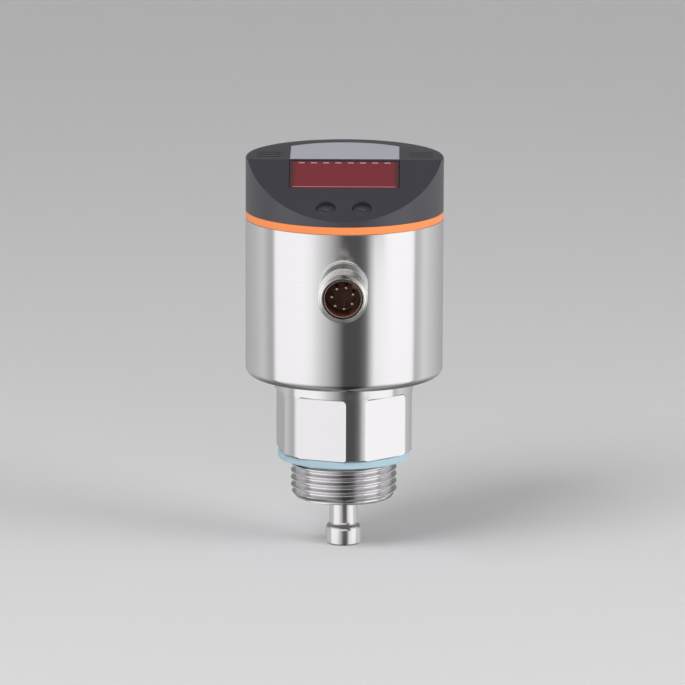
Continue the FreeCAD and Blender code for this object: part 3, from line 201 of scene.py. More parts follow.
def turned_piece(name, corners, columns=192, steps=6, plug_height=None, closed=True):
    """A turned piece from its corner list, closed on itself as a ring or at its two poles."""
    points = lathe(rounded(corners, steps), columns)
    if plug_height is not None:
        points = to_plug_axis(points, plug_height)
    faces = grid_faces(*points.shape[:2], close_rows=closed)
    return new_piece(name, points, faces)


print("helpers for grids are ready; points closer than", MERGE, "m are merged")

# %% [markdown]
# A thread is one tooth carried along a helix. A bump in the material could fake it, but its
# outline would stay smooth, so it is real geometry here. Each row of the grid follows the helix
# itself: its height is the pitch times the share of the turn, so crests and roots run exactly
# along rows and stay crisp. Rows beyond the ends are pressed flat onto the end planes, and the
# radius is held under a cone near each end, which gives the lead-in chamfer.

# %% Threads
TOOTH_ROWS = 14
ROUND_PART, FLANK_SLOPE = 0.35, 1.35


def tooth(share, crest_share):
    """Depth of a tooth from crest (0) to root (1) at a share of the pitch.

    A half cosine rounds the crest and the root, a steeper straight line makes the flanks, and
    the depth is a blend of the two.
    """
    flank = np.clip((np.abs(2 * (share % 1) - 1) - crest_share) / (1 - crest_share), 0, 1)
    smooth = 0.5 - 0.5 * np.cos(np.pi * flank)
    straight = np.clip((flank - 0.5) * FLANK_SLOPE + 0.5, 0, 1)
    return ROUND_PART * smooth + (1 - ROUND_PART) * straight


def threaded_rows(radius, depth, pitch, low, high, columns, low_cone, high_cone,
                  crest_share=0.0):
    """Rows of a thread between two heights: r = radius - depth * tooth, under a cone at each end.

    The crest share is the part of the pitch that stays flat on top of each tooth. A row climbs
    by one pitch on its way round, so rows are needed below the low end and above the high end.
    """
    first = int(math.floor(low / pitch - 2)) * TOOTH_ROWS
    last = int(math.ceil(high / pitch + 1)) * TOOTH_ROWS
    angle = np.linspace(0, 2 * math.pi, columns + 1)[None]
    share = (np.arange(first, last + 1) / TOOTH_ROWS)[:, None]
    height = np.clip(pitch * (share + angle / (2 * math.pi)), low, high)
    crest = radius - depth * tooth(share, crest_share)
    core = radius - depth
    crest = np.minimum(crest, core + (height - low) * low_cone)
    crest = np.minimum(crest, core + (high - height) * high_cone)
    return np.stack((crest * np.cos(angle), crest * np.sin(angle), height), axis=-1)


def threaded_piece(name, before, thread, after, columns=160, plug_height=None):
    """A turned piece with a stretch of thread between two chains of plain corners."""
    rows = np.concatenate((lathe(rounded(before), columns),
                           threaded_rows(columns=columns, **thread),
                           lathe(rounded(after), columns)))
    if plug_height is not None:
        rows = to_plug_axis(rows, plug_height)
    return new_piece(name, rows, grid_faces(*rows.shape[:2], close_rows=True))


print("rows of points for each turn of a thread:", TOOTH_ROWS)

# %% [markdown]
# The process fitting is turned from one bar: a G 3/4 thread below, a collar above it with six
# milled flats, and a spigot that disappears in the head. The thread and the collar are two
# surfaces here, because the collar's columns have to follow the edges of its flats. The thread
# comes first. A pipe thread of this kind is round at its crests and its roots.

# %% Process thread
THREAD_RADIUS, THREAD_DEPTH, THREAD_PITCH = 13.22, 1.1, 1.814
THREAD_END, SEAL_TOP = -10.0, 2.0
FITTING_BORE, BORE_MIDDLE = 9.02, -3.0
THREAD_CORE = THREAD_RADIUS - THREAD_DEPTH

process_thread = threaded_piece(
    "process_thread",
    before=((FITTING_BORE, BORE_MIDDLE, 0), (FITTING_BORE, THREAD_END, 0.15),
            (THREAD_CORE, THREAD_END, 0)),
    thread=dict(radius=THREAD_RADIUS, depth=THREAD_DEPTH, pitch=THREAD_PITCH, low=THREAD_END,
                high=0.0, low_cone=0.7, high_cone=1.2),
    after=((THREAD_CORE, 0.0, 0), (THREAD_CORE, SEAL_TOP, 0), (FITTING_BORE, SEAL_TOP, 0)))
print("turns of the process thread:", round(-THREAD_END / THREAD_PITCH, 1))

# %% [markdown]
# The collar is round above and carries six flats for a spanner below. The flats stop at a ledge
# and their upper corners are round, as a milling cutter leaves them. Cutting six boxes from a
# cylinder is the usual way. Here the collar is a grid instead, whose columns move with the edges
# of the flats, so that every edge stays clean. A small fillet under the ledge catches the light.

# %% Spanner collar
COLLAR_RADIUS, COLLAR_TOP, COLLAR_BEVEL = 17.25, 20.7, 0.3
FLAT_HALF, FLAT_TOP, FLAT_CORNER, FLAT_FILLET, FLAT_TURN = 16.0, 17.7, 1.5, 0.5, -19.75
SPIGOT_RADIUS, SPIGOT_TOP = 12.0, 30.0
FLAT_COUNT, FLAT_MIDDLE = 6, 9.0
FLAT_POINTS, ARC_POINTS, CORNER_POINTS = 7, 9, 25
COLLAR_SHARP = math.radians(14)


def collar_row(height, radius, half_width, deep=True):
    """One row round the collar: for each of six sectors a flat, its two side walls and an arc.

    A flat's points lie at the flat's distance from the axis, and follow a small round fillet in
    the last stretch below the ledge; with deep set to False they lie on the round collar instead.
    Each sector is the first one turned about the axis by its share of the circle.
    """
    step = 2 * math.pi / FLAT_COUNT
    across = np.linspace(-half_width, half_width, FLAT_POINTS)
    out = np.sqrt(radius ** 2 - across ** 2)
    if deep:
        rise = min(max(0.0, height - (FLAT_TOP - FLAT_FILLET)), FLAT_FILLET)
        out = np.minimum(out, FLAT_HALF + FLAT_FILLET - math.sqrt(FLAT_FILLET ** 2 - rise ** 2))
    edge = math.sqrt(radius ** 2 - half_width ** 2)
    start = math.asin(half_width / radius)
    turn = np.linspace(start, step - start, ARC_POINTS)
    along = np.concatenate(([-half_width], across, radius * np.sin(turn)))
    away = np.concatenate(([edge], out, radius * np.cos(turn)))
    sector = math.radians(FLAT_TURN) + np.arange(FLAT_COUNT)[:, None] * step
    x = away * np.sin(sector) + along * np.cos(sector)
    y = -away * np.cos(sector) + along * np.sin(sector)
    row = np.stack((x.ravel(), y.ravel(), np.full(x.size, height)), axis=-1)
    return np.vstack((row, row[:1]))


def flat_width(height, radius):
    """Half the width of a flat at a height: full below, narrower in the cutter's round corner."""
    full = math.sqrt(radius ** 2 - FLAT_HALF ** 2)
    rise = max(0.0, height - (FLAT_TOP - FLAT_CORNER))
    return full - FLAT_CORNER + math.sqrt(FLAT_CORNER ** 2 - rise ** 2)


def collar_rows():
    """All rows of the collar from its lower edge to the spigot and back down the bore."""
    low = COLLAR_RADIUS - COLLAR_BEVEL
    quarter = np.linspace(0, math.pi / 2, CORNER_POINTS)
    corner = FLAT_TOP - FLAT_CORNER * (1 - np.sin(quarter))
    rows = [collar_row(SEAL_TOP, low, flat_width(SEAL_TOP, low))]
    for height in (SEAL_TOP + COLLAR_BEVEL, FLAT_MIDDLE, *corner):
        rows.append(collar_row(height, COLLAR_RADIUS, flat_width(height, COLLAR_RADIUS)))
    width = flat_width(FLAT_TOP, COLLAR_RADIUS)
    for radius, height in (
            (COLLAR_RADIUS, FLAT_TOP), (COLLAR_RADIUS, COLLAR_TOP - COLLAR_BEVEL),
            (low, COLLAR_TOP), (SPIGOT_RADIUS, COLLAR_TOP), (SPIGOT_RADIUS, SPIGOT_TOP),
            (FITTING_BORE, SPIGOT_TOP), (FITTING_BORE, SEAL_TOP)):
        rows.append(collar_row(height, radius, width * radius / COLLAR_RADIUS, deep=False))
    return np.stack(rows)


collar = collar_rows()
spanner_collar = new_piece("spanner_collar", collar,
                           grid_faces(*collar.shape[:2], close_rows=True), sharp=COLLAR_SHARP)
for piece in (process_thread, spanner_collar):
    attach(piece, "process_connection")
    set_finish(piece, "fitting_steel")
    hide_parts("process_fitting")
    print(piece.name, "faces", len(piece.data.polygons))

# %% [markdown]
# The flat seal, the probe stub, the housing and the trim ring are plain turned or moulded rings
# and bars. Primitives with a bevel would do for some of them. One chain of corners for each is
# shorter to write, and every corner says its own rounding, which catches the light the way a
# real edge does. The seal is drawn a little thinner than its solid, which leaves the dark line
# that a seal shows under a collar.

# %% Turned pieces
SEAL_BORE, SEAL_RADIUS, SEAL_DRAWN = 13.3, 16.4, 1.85
ROD_RADIUS, PROBE_TIP, PROBE_NECK, PROBE_PIN = 2.0, 4.45, 3.5, 1.0
PROBE_END, ROD_HOLE_END, TIP_TOP, TIP_SHOULDER = -22.3, -16.3, -18.0, -17.0
NECK_TOP, SHANK_TOP, PIN_TOP = -9.6, 12.2, 31.0
CAN_RADIUS, CAN_BORE, CAN_BOTTOM, CAN_TOP = 24.5, 23.0, 21.0, 60.5
TRIM_TOP = 62.4
HUB_BORE, HUB_RADIUS, HUB_TOP, FLOOR_TOP = 12.06, 17.2, 27.0, 23.5

TURNED = {
    "flat_seal": ("sealing_ring", "process_connection", "seal_blue", True, (
        (SEAL_BORE, 0.0, 0.15), (SEAL_RADIUS, 0.0, 0.35), (SEAL_RADIUS, SEAL_DRAWN, 0.25),
        (SEAL_BORE, SEAL_DRAWN, 0.15), (SEAL_BORE, 0.0, 0))),
    "probe": ("probe_stub", "process_connection", "rod_steel", False, (
        (0.0, ROD_HOLE_END, 0), (ROD_RADIUS, ROD_HOLE_END, 0), (ROD_RADIUS, PROBE_END, 0.15),
        (PROBE_TIP, PROBE_END, 0.5), (PROBE_TIP, TIP_TOP, 1.4), (PROBE_NECK, TIP_SHOULDER, 1.4),
        (PROBE_NECK, NECK_TOP, 0), (ROD_RADIUS, NECK_TOP, 0), (ROD_RADIUS, SHANK_TOP, 0),
        (PROBE_PIN, SHANK_TOP, 0), (PROBE_PIN, PIN_TOP, 0), (0.0, PIN_TOP, 0))),
    "steel_housing": ("housing_can", "head", "housing_steel", True, (
        (HUB_BORE, CAN_BOTTOM, 0.2), (CAN_RADIUS, CAN_BOTTOM, 2.0), (CAN_RADIUS, CAN_TOP, 0.12),
        (CAN_BORE, CAN_TOP, 0), (CAN_BORE, FLOOR_TOP, 0), (HUB_RADIUS, FLOOR_TOP, 0),
        (HUB_RADIUS, HUB_TOP, 0), (HUB_BORE, HUB_TOP, 0), (HUB_BORE, CAN_BOTTOM, 0))),
    "colour_ring": ("trim_ring", "head", "trim_orange", True, (
        (CAN_BORE, CAN_TOP, 0), (CAN_RADIUS, CAN_TOP, 0.18), (CAN_RADIUS, TRIM_TOP, 0.18),
        (CAN_BORE, TRIM_TOP, 0))),
}

for name, (node, body, slot, closed, corners) in TURNED.items():
    piece = turned_piece(name, corners, columns=256, steps=10, closed=closed)
    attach(piece, body)
    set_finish(piece, slot)
    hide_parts(node)
    print(name, "faces", len(piece.data.polygons))

# %% [markdown]
# The plug is a round M12 connector that looks straight to the front. Its metal shell is a tube
# with a flange at the housing, a neck with fine rings, an undercut and a thread. The shell could
# be turned with the same tools and then rotated. Its points are written for the Z axis and moved
# to the plug's axis before the mesh is made, so that the place stays in the mesh. The flange
# starts inside the housing's wall, and so its foot follows the round wall without a gap.

# %% Plug shell
PLUG_HEIGHT, PLUG_FACE, PLUG_TAIL = 48.2, 43.0, 19.0
PLUG_BORE, PLUG_NECK, PLUG_FLANGE, PLUG_GROOVE = 4.85, 5.65, 5.95, 5.1
FLANGE_START, FLANGE_END, NECK_END, GROOVE_START, GROOVE_END = 23.5, 26.5, 33.6, 34.0, 34.9
MOUTH_DROP, MOUTH_OUTER, MOUTH_INNER, MOUTH_CHAMFER = 0.3, 5.2, 5.0, 0.2
PLUG_THREAD = dict(radius=6.0, depth=0.45, pitch=1.0, low=GROOVE_END, high=PLUG_FACE - MOUTH_DROP,
                   low_cone=1.0, high_cone=1.0, crest_share=0.55)
PLUG_CORE = PLUG_THREAD["radius"] - PLUG_THREAD["depth"]
NECK_RINGS, NECK_RING_DEPTH, RINGS_START, RINGS_END = 6, 0.35, 27.0, 33.0


def neck_rings():
    """Corners of fine V-shaped rings turned into the neck: the radius is low at every other one."""
    heights = np.linspace(RINGS_START, RINGS_END, 2 * NECK_RINGS + 1)
    radii = np.where(np.arange(len(heights)) % 2, PLUG_NECK - NECK_RING_DEPTH, PLUG_NECK)
    return [(float(radius), float(height), 0) for radius, height in zip(radii, heights)]


plug_shell = threaded_piece(
    "plug_shell",
    before=((PLUG_BORE, PLUG_TAIL, 0), (PLUG_NECK, PLUG_TAIL, 0), (PLUG_NECK, FLANGE_START, 0),
            (PLUG_FLANGE, FLANGE_START, 0), (PLUG_FLANGE, FLANGE_END, 0.25),
            (PLUG_NECK, FLANGE_END, 0.1), *neck_rings(), (PLUG_NECK, NECK_END, 0.15),
            (PLUG_GROOVE, GROOVE_START, 0.1), (PLUG_GROOVE, GROOVE_END, 0.05),
            (PLUG_CORE, GROOVE_END, 0)),
    thread=PLUG_THREAD,
    after=((PLUG_CORE, PLUG_FACE - MOUTH_DROP, 0), (MOUTH_OUTER, PLUG_FACE, 0.15),
           (MOUTH_INNER, PLUG_FACE, 0.1), (PLUG_BORE, PLUG_FACE - MOUTH_CHAMFER, 0.1),
           (PLUG_BORE, PLUG_TAIL, 0)),
    columns=128, plug_height=PLUG_HEIGHT)
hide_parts("connector_shell")
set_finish(plug_shell, "connector_metal")
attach(plug_shell, "head")
print(plug_shell.name, "faces", len(plug_shell.data.polygons))

# %% [markdown]
# Inside the shell sits a dark brown insert: a cup whose floor holds seven gilded contacts on a
# circle, with a key rib on its wall that lets the mating plug in only one way. A thin pale ring at
# its mouth is a painted highlight, for the light that the mouth's round edge catches. Seven
# cylinder objects would do for the contacts. They are one stack of equal grids here, because they
# share a node and a finish.

# %% Plug insert and contacts
CUP_RADIUS, CUP_BORE, LIP_RADIUS = 4.83, 4.38, 4.6
CUP_FLOOR, CUP_STEP, CUP_MOUTH = 34.0, 41.7, 42.2

insert_cup = turned_piece(
    "insert_cup",
    ((0.0, PLUG_TAIL, 0), (CUP_RADIUS, PLUG_TAIL, 0), (CUP_RADIUS, CUP_STEP, 0.1),
     (LIP_RADIUS, CUP_STEP, 0.05), (LIP_RADIUS, CUP_MOUTH, 0.1), (CUP_BORE, CUP_MOUTH, 0.1),
     (CUP_BORE, CUP_FLOOR, 0.15), (0.0, CUP_FLOOR, 0)),
    columns=128, plug_height=PLUG_HEIGHT, closed=False)
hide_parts("connector_insert")
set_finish(insert_cup, "insert_plastic")

PIN_COUNT, PIN_RADIUS, PIN_CIRCLE, PIN_TURN = 7, 0.4, 2.68, 20.3
PIN_BACK, PIN_TIP, PIN_ROUNDING, PIN_COLUMNS = 18.0, 41.4, 0.38, 24
PIN_CORNERS = ((0.0, PIN_BACK, 0), (PIN_RADIUS, PIN_BACK, 0), (PIN_RADIUS, PIN_TIP, PIN_ROUNDING),
               (0.0, PIN_TIP, 0))


def pin_points():
    """All contacts as one stack of grids: one pin, moved to each place on the circle."""
    one = lathe(rounded(PIN_CORNERS), PIN_COLUMNS)
    angle = np.radians(PIN_TURN) + np.arange(PIN_COUNT) * 2 * math.pi / PIN_COUNT
    places = PIN_CIRCLE * np.stack((np.cos(angle), np.sin(angle), 0 * angle), axis=-1)
    return to_plug_axis(one[None] + places[:, None, None], PLUG_HEIGHT)


pins = pin_points()
plug_pins = new_piece("plug_pins", pins, stacked_faces(pins))
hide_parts("connector_pins")
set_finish(plug_pins, "contact_gold")

KEY_ANGLE, KEY_HALF, KEY_DEPTH, KEY_ROUNDING = math.radians(46.0), 0.6, 0.7, 0.25
KEY_ROOT, KEY_EDGE, KEY_LOW, KEY_HIGH = 4.5, CUP_BORE - KEY_DEPTH, 33.8, 42.0


def key_points():
    """The key rib: a rounded bar along the cup's wall, as a section carried from floor to mouth.

    The section is turned by the key's angle, and shrinks to its middle at both ends.
    """
    section = rounded(((KEY_ROOT, -KEY_HALF, 0), (KEY_EDGE, -KEY_HALF, KEY_ROUNDING),
                       (KEY_EDGE, KEY_HALF, KEY_ROUNDING), (KEY_ROOT, KEY_HALF, 0)), steps=5)
    out, aside = section[:, 0], section[:, 1]
    x = out * math.cos(KEY_ANGLE) - aside * math.sin(KEY_ANGLE)
    y = out * math.sin(KEY_ANGLE) + aside * math.cos(KEY_ANGLE)
    middle_x, middle_y = x.mean(), y.mean()
    rows = [np.stack((middle_x + (x - middle_x) * size, middle_y + (y - middle_y) * size,
                      np.full(len(x), height)), axis=-1)
            for size, height in ((0, KEY_LOW), (1, KEY_LOW), (1, KEY_HIGH), (0, KEY_HIGH))]
    rows = np.stack(rows)
    return to_plug_axis(np.concatenate((rows, rows[:, :1]), axis=1), PLUG_HEIGHT)


key = key_points()
key_rib = new_piece("key_rib", key, grid_faces(*key.shape[:2]))
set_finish(key_rib, "insert_plastic")

# The mouth ring is a painted highlight: a pale ring that stands in for the light on the mouth's edge.
RING_INNER, RING_OUTER, RING_LOW, RING_HIGH, RING_ROUNDING = 4.4, 4.58, 41.9, 42.28, 0.06
mouth_ring = turned_piece("mouth_ring", (
    (RING_INNER, RING_LOW, 0), (RING_OUTER, RING_LOW, 0), (RING_OUTER, RING_HIGH, RING_ROUNDING),
    (RING_INNER, RING_HIGH, RING_ROUNDING), (RING_INNER, RING_LOW, 0)),
    columns=96, plug_height=PLUG_HEIGHT)
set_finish(mouth_ring, "insulator")
for piece in (insert_cup, plug_pins, key_rib, mouth_ring):
    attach(piece, "head")
    print(piece.name, "faces", len(piece.data.polygons))

# %% [markdown]
# The display cap is one moulding: flat behind, sloped in front, with a seat for the window, two
# wells for the buttons and grip grooves at both sides. A grid can't follow such cut-outs well,
# so the meshes of the cap, the window, the label and the buttons start as copies of the solids'.
# A copy's loose triangles are merged, flat neighbours are joined to larger faces and every sharp
# edge gets a narrow round bevel, which is what makes moulded plastic look real.

# %% Cap, window, label and buttons
COPY_MERGE, FLAT_LIMIT, EDGE_LIMIT = 1e-6, math.radians(0.5), math.radians(30)
BEVEL_SEGMENTS = 3


def softened_copy(name, node, width):
    """A merged copy of a solid's mesh with a round bevel on its sharp edges."""
    work = bmesh.new()
    work.from_mesh(nodes[node].data)
    bmesh.ops.remove_doubles(work, verts=work.verts, dist=COPY_MERGE)
    bmesh.ops.dissolve_limit(work, angle_limit=FLAT_LIMIT, verts=work.verts, edges=work.edges,
                             use_dissolve_boundaries=False, delimit={"NORMAL"})
    mesh = bpy.data.meshes.new(name)
    work.to_mesh(mesh)
    work.free()
    mesh.shade_smooth()
    mesh.set_sharp_from_angle(angle=EDGE_LIMIT)
    piece = bpy.data.objects.new(name, mesh)
    bpy.context.scene.collection.objects.link(piece)
    bevel = piece.modifiers.new("edges", "BEVEL")
    bevel.width = width * MM
    bevel.segments = BEVEL_SEGMENTS
    bevel.limit_method = "ANGLE"
    bevel.angle_limit = EDGE_LIMIT
    bevel.harden_normals = True
    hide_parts(node)
    return piece


COPIES = {
    "sloped_cap": ("display_cap", "head", "cap_plastic", 0.15),
    "red_window": ("display_window", "head", "window_red", 0.12),
    "bare_label": ("label_plate", "head", "label_silver", 0.04),
    "finger_button_left": ("left_button", "left_push_button", "button_rubber", 0.12),
    "finger_button_right": ("right_button", "right_push_button", "button_rubber", 0.12),
}
for name, (node, body, slot, width) in COPIES.items():
    piece = softened_copy(name, node, width)
    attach(piece, body)
    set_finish(piece, slot)
    print(name, "faces", len(piece.data.polygons))

# %% [markdown]
# Eight narrow lights show at the window's upper edge. A thin pale line along its lower edge is a
# painted highlight, for the light that the window's lower bevel catches. A picture on the window
# could show them. Small plates that lie on it need no picture and keep their edges crisp. Every
# button has a low curved ridge for the finger: an ellipse carried along a curve, shrinking to a
# point at both ends, so that it grows out of the button's face.

# %% Window marks and button ridges
CREASE_Y, CREASE_Z, SLOPE = -5.5, 75.8, math.radians(32.6)
WINDOW_SINK, MARK_PROUD = 0.1, 0.03
LIGHT_COUNT, LIGHT_REACH, LIGHT_HALF, LIGHT_DOWN, LIGHT_LENGTH = 8, 10.57, 0.75, 1.05, 0.42
LINE_HALF, LINE_DOWN, LINE_LENGTH = 12.7, 9.65, 0.16
BUTTON_APART, BUTTON_DOWN, BUTTON_TILT = 8.8, 17.5, math.radians(13)
BUTTON_REACH, BUTTON_SINK = 2.4, 0.1
BUTTON_DEEP = BUTTON_SINK + BUTTON_REACH * math.tan(BUTTON_TILT)
RIDGE_LENGTH, RIDGE_HALF, RIDGE_HIGH, RIDGE_SWELL = 2.7, 0.48, 0.55, 0.6
RIDGE_WAVE, RIDGE_LEAN = 0.35, 0.25
RIDGE_ROWS, RIDGE_COLUMNS = 25, 17


def on_face(across, down, out):
    """Points from their place on the sloped face: across it, down it and out of it.

    Down and out are turned by the slope about the crease between the flat top and the face.
    """
    y = CREASE_Y - down * math.cos(SLOPE) - out * math.sin(SLOPE)
    z = CREASE_Z - down * math.sin(SLOPE) + out * math.cos(SLOPE)
    return np.stack(np.broadcast_arrays(across, y, z), axis=-1)


def window_plates(middles, half, down, length):
    """Flat plates in a row, each a rectangle carried across from one end to the other.

    At both ends the rectangle is pulled together to one line, which closes the plate.
    """
    section = np.array(((0, -1), (0, 0), (1, 0), (1, -1), (0, -1)), float)
    fall = down + (section[:, 0] - 0.5) * length
    out = -WINDOW_SINK + MARK_PROUD + section[:, 1] * MARK_PROUD * 2
    wide = np.array((-half, -half, half, half))[:, None]
    full = np.array((0, 1, 1, 0))[:, None]
    plate = on_face(wide, down + (fall - down) * full, out * full + (1 - full) * (-WINDOW_SINK))
    shift = np.zeros((len(middles), 1, 1, 3))
    shift[..., 0] = np.reshape(middles, (-1, 1, 1))
    return plate[None] + shift


def ridge_points(side):
    """An ellipse carried along an S curve on a button's tilted finger face.

    The curve is one sine wave with a lean; the ellipse swells with the sine of half a turn.
    """
    share = np.linspace(0, 1, RIDGE_ROWS)[:, None]
    around = np.linspace(0, 2 * math.pi, RIDGE_COLUMNS)[None]
    swell = np.sin(math.pi * share) ** RIDGE_SWELL
    bend = -RIDGE_WAVE * np.sin(2 * math.pi * share) - RIDGE_LEAN * (share - 0.5)
    across = (share - 0.5) * RIDGE_LENGTH + 0 * around
    down = bend + RIDGE_HALF * swell * np.cos(around)
    out = RIDGE_HIGH * swell * np.sin(around)
    deep = BUTTON_DEEP - down * math.tan(BUTTON_TILT)
    return on_face(BUTTON_APART / 2 * side + across, BUTTON_DOWN + down, out - deep)


light_places = np.linspace(-LIGHT_REACH, LIGHT_REACH, LIGHT_COUNT)
lights = window_plates(light_places, LIGHT_HALF, LIGHT_DOWN, LIGHT_LENGTH)
light_marks = new_piece("light_marks", lights, stacked_faces(lights))
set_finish(light_marks, "led_clear")
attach(light_marks, "head")
# The lower line is a painted highlight: a pale plate that stands in for the light on the lower bevel.
line = window_plates([0.0], LINE_HALF, LINE_DOWN, LINE_LENGTH)
lower_line = new_piece("lower_line", line, stacked_faces(line))
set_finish(lower_line, "led_clear")
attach(lower_line, "head")
for side, body in ((-1, "left_push_button"), (1, "right_push_button")):
    ridge = ridge_points(side)
    finger_ridge = new_piece("finger_ridge_" + body, ridge, grid_faces(*ridge.shape[:2]))
    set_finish(finger_ridge, "button_rubber")
    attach(finger_ridge, body)
    print(finger_ridge.name, "faces", len(finger_ridge.data.polygons))

# %% [markdown]
# Every finish below is a small tree of shader nodes. Image textures would need files, and would
# have to be wrapped round each piece. Noise and masks that read the Object coordinates need
# neither, and they stay on the piece when it moves. A few helpers keep the trees short.

# %% Helpers for finishes
def new_material(name):
    """A material with its node tree and its main shader."""
    material = bpy.data.materials.new(name)
    material.use_nodes = True
    tree = material.node_tree
    return material, tree, tree.nodes["Principled BSDF"]


def stretched_noise(tree, scale, detail=3.0):
    """Noise on Object coordinates, in metres, with its own scale for each axis."""
    place = tree.nodes.new("ShaderNodeTexCoord")
    mapping = tree.nodes.new("ShaderNodeMapping")
    mapping.inputs["Scale"].default_value = scale
    noise = tree.nodes.new("ShaderNodeTexNoise")
    noise.inputs["Scale"].default_value = 1.0
    noise.inputs["Detail"].default_value = detail
    tree.links.new(place.outputs["Object"], mapping.inputs["Vector"])
    tree.links.new(mapping.outputs["Vector"], noise.inputs["Vector"])
    return noise.outputs["Fac"]


def spread(tree, value, source, target):
    """Map one range of a value to another, held at both ends."""
    node = tree.nodes.new("ShaderNodeMapRange")
    node.inputs["From Min"].default_value, node.inputs["From Max"].default_value = source
    node.inputs["To Min"].default_value, node.inputs["To Max"].default_value = target
    tree.links.new(value, node.inputs["Value"])
    return node.outputs["Result"]


def calculated(tree, operation, first, second=None):
    """A math node on a socket and a number or a second socket."""
    maths = tree.nodes.new("ShaderNodeMath")
    maths.operation = operation
    tree.links.new(first, maths.inputs[0])
    if isinstance(second, (int, float)):
        maths.inputs[1].default_value = second
    elif second is not None:
        tree.links.new(second, maths.inputs[1])
    return maths.outputs[0]


def tinted(tree, value, first, second):
    """Mix two colours by a value; the first may also be a socket."""
    mix = tree.nodes.new("ShaderNodeMix")
    mix.data_type = "RGBA"
    if isinstance(first, tuple):
        mix.inputs["A"].default_value = (*first, 1)
    else:
        tree.links.new(first, mix.inputs["A"])
    mix.inputs["B"].default_value = (*second, 1)
    tree.links.new(value, mix.inputs["Factor"])
    return mix.outputs["Result"]


def overlap(tree, masks):
    """One where all masks, each a (value, from, to), are open, and nought where any is shut."""
    cover = None
    for value, start, end in masks:
        low, high, shares = (start, end, (0, 1)) if start < end else (end, start, (1, 0))
        share = spread(tree, value, (low, high), shares)
        cover = share if cover is None else calculated(tree, "MULTIPLY", cover, share)
    return cover


def within(value, limits):
    """A mask for a place in metres from its two limits in millimetres."""
    return value, limits[0] * MM, limits[1] * MM


def object_place(tree):
    """The X, Y and Z sockets of Object coordinates, in metres."""
    place = tree.nodes.new("ShaderNodeTexCoord")
    parts = tree.nodes.new("ShaderNodeSeparateXYZ")
    tree.links.new(place.outputs["Object"], parts.inputs[0])
    return parts.outputs


def bumped(tree, shader, value, strength, distance):
    """Let a value raise the surface in the shading only, for marks too fine to model."""
    bump = tree.nodes.new("ShaderNodeBump")
    bump.inputs["Strength"].default_value = strength
    bump.inputs["Distance"].default_value = distance
    tree.links.new(value, bump.inputs["Height"])
    tree.links.new(bump.outputs["Normal"], shader.inputs["Normal"])


print("helpers for finishes are ready")

# %% [markdown]
# The metals here are turned: the tool left fine lines round the axis. A noise that changes slowly
# round the piece and fast along its axis draws those lines, in the tone, in the roughness and as
# a faint bump. The plastics and the rubber come from moulds with a fine grain, which is the same
# noise at one scale for all axes; the seal and the boards get it too. Each finish could have a
# tree of its own. One function for each group keeps finishes of a kind alike.

# %% Turned metal and moulded plastic
SLOW_NOISE, LINE_NOISE, TONE_NOISE = 40.0, 9000.0, 90.0
LINE_DARKEST, LINE_BUMP, LINE_HEIGHT = 0.93, 0.05, 0.00002
LINE_SHINE, GRAIN_SHINE, GRAIN_HEIGHT = (0.85, 1.2), (0.9, 1.12), 0.00003


def turned_metal(name, colour, rough, axis=2):
    """Metal with fine lines round one axis (0, 1 or 2)."""
    material, tree, shader = new_material(name)
    scale = [SLOW_NOISE, SLOW_NOISE, SLOW_NOISE]
    scale[axis] = LINE_NOISE
    lines = stretched_noise(tree, scale)
    shader.inputs["Metallic"].default_value = 1.0
    shader.inputs["Anisotropic"].default_value = 0.5
    shader.inputs["Anisotropic Rotation"].default_value = 0.25
    darker = tuple(value * LINE_DARKEST for value in colour)
    shine = spread(tree, lines, (0, 1), tuple(rough * part for part in LINE_SHINE))
    tree.links.new(tinted(tree, lines, darker, colour), shader.inputs["Base Color"])
    tree.links.new(shine, shader.inputs["Roughness"])
    bumped(tree, shader, lines, LINE_BUMP, LINE_HEIGHT)
    return material


def moulded_plastic(name, colour, rough, grain=2500.0, strength=0.08, variation=0.12):
    """Plastic with a fine grain and a slight change of tone."""
    material, tree, shader = new_material(name)
    fine = stretched_noise(tree, (grain, grain, grain), 4.0)
    broad = stretched_noise(tree, (TONE_NOISE, TONE_NOISE, TONE_NOISE), 2.0)
    darker = tuple(value * (1 - variation) for value in colour)
    lighter = tuple(min(1.0, value * (1 + variation)) for value in colour)
    shine = spread(tree, fine, (0, 1), tuple(rough * part for part in GRAIN_SHINE))
    tree.links.new(tinted(tree, broad, darker, lighter), shader.inputs["Base Color"])
    tree.links.new(shine, shader.inputs["Roughness"])
    bumped(tree, shader, fine, strength, GRAIN_HEIGHT)
    return material


print("roughness of the metal lines, from and to:", LINE_SHINE)

# %% [markdown]
# Two finishes change from place to place, and both are painted shade. The display window is a dark
# red filter with a brown band of painted shade along its border, where its frame shades it. The
# grip grooves in the cap's flat top are so narrow that they look nearly black, and painted shade
# makes them dark and dull. More geometry would not darken them enough in this even light, so both
# changes are masks: smooth steps at measured places on the piece.

# %% Window and cap
BORDER_SIDES, BORDER_TOP, BORDER_FOOT = (11.8, 13.2), (75.22, 75.42), (70.36, 70.26)
FILTER_RED, BORDER_SHADE = (0.19, 0.030, 0.040), (0.065, 0.033, 0.036)
GROOVE_TOP, GROOVE_FLOOR, GROOVE_FRONT, GROOVE_SIDE = (
    (75.795, 75.76), (75.1, 75.2), (-5.2, -5.0), (22.9, 22.7))
ANTHRACITE, GROOVE_SHADE = (0.046, 0.043, 0.055), (0.006, 0.006, 0.008)
CAP_GLOSS, GROOVE_GLOSS = 0.72, 0.05


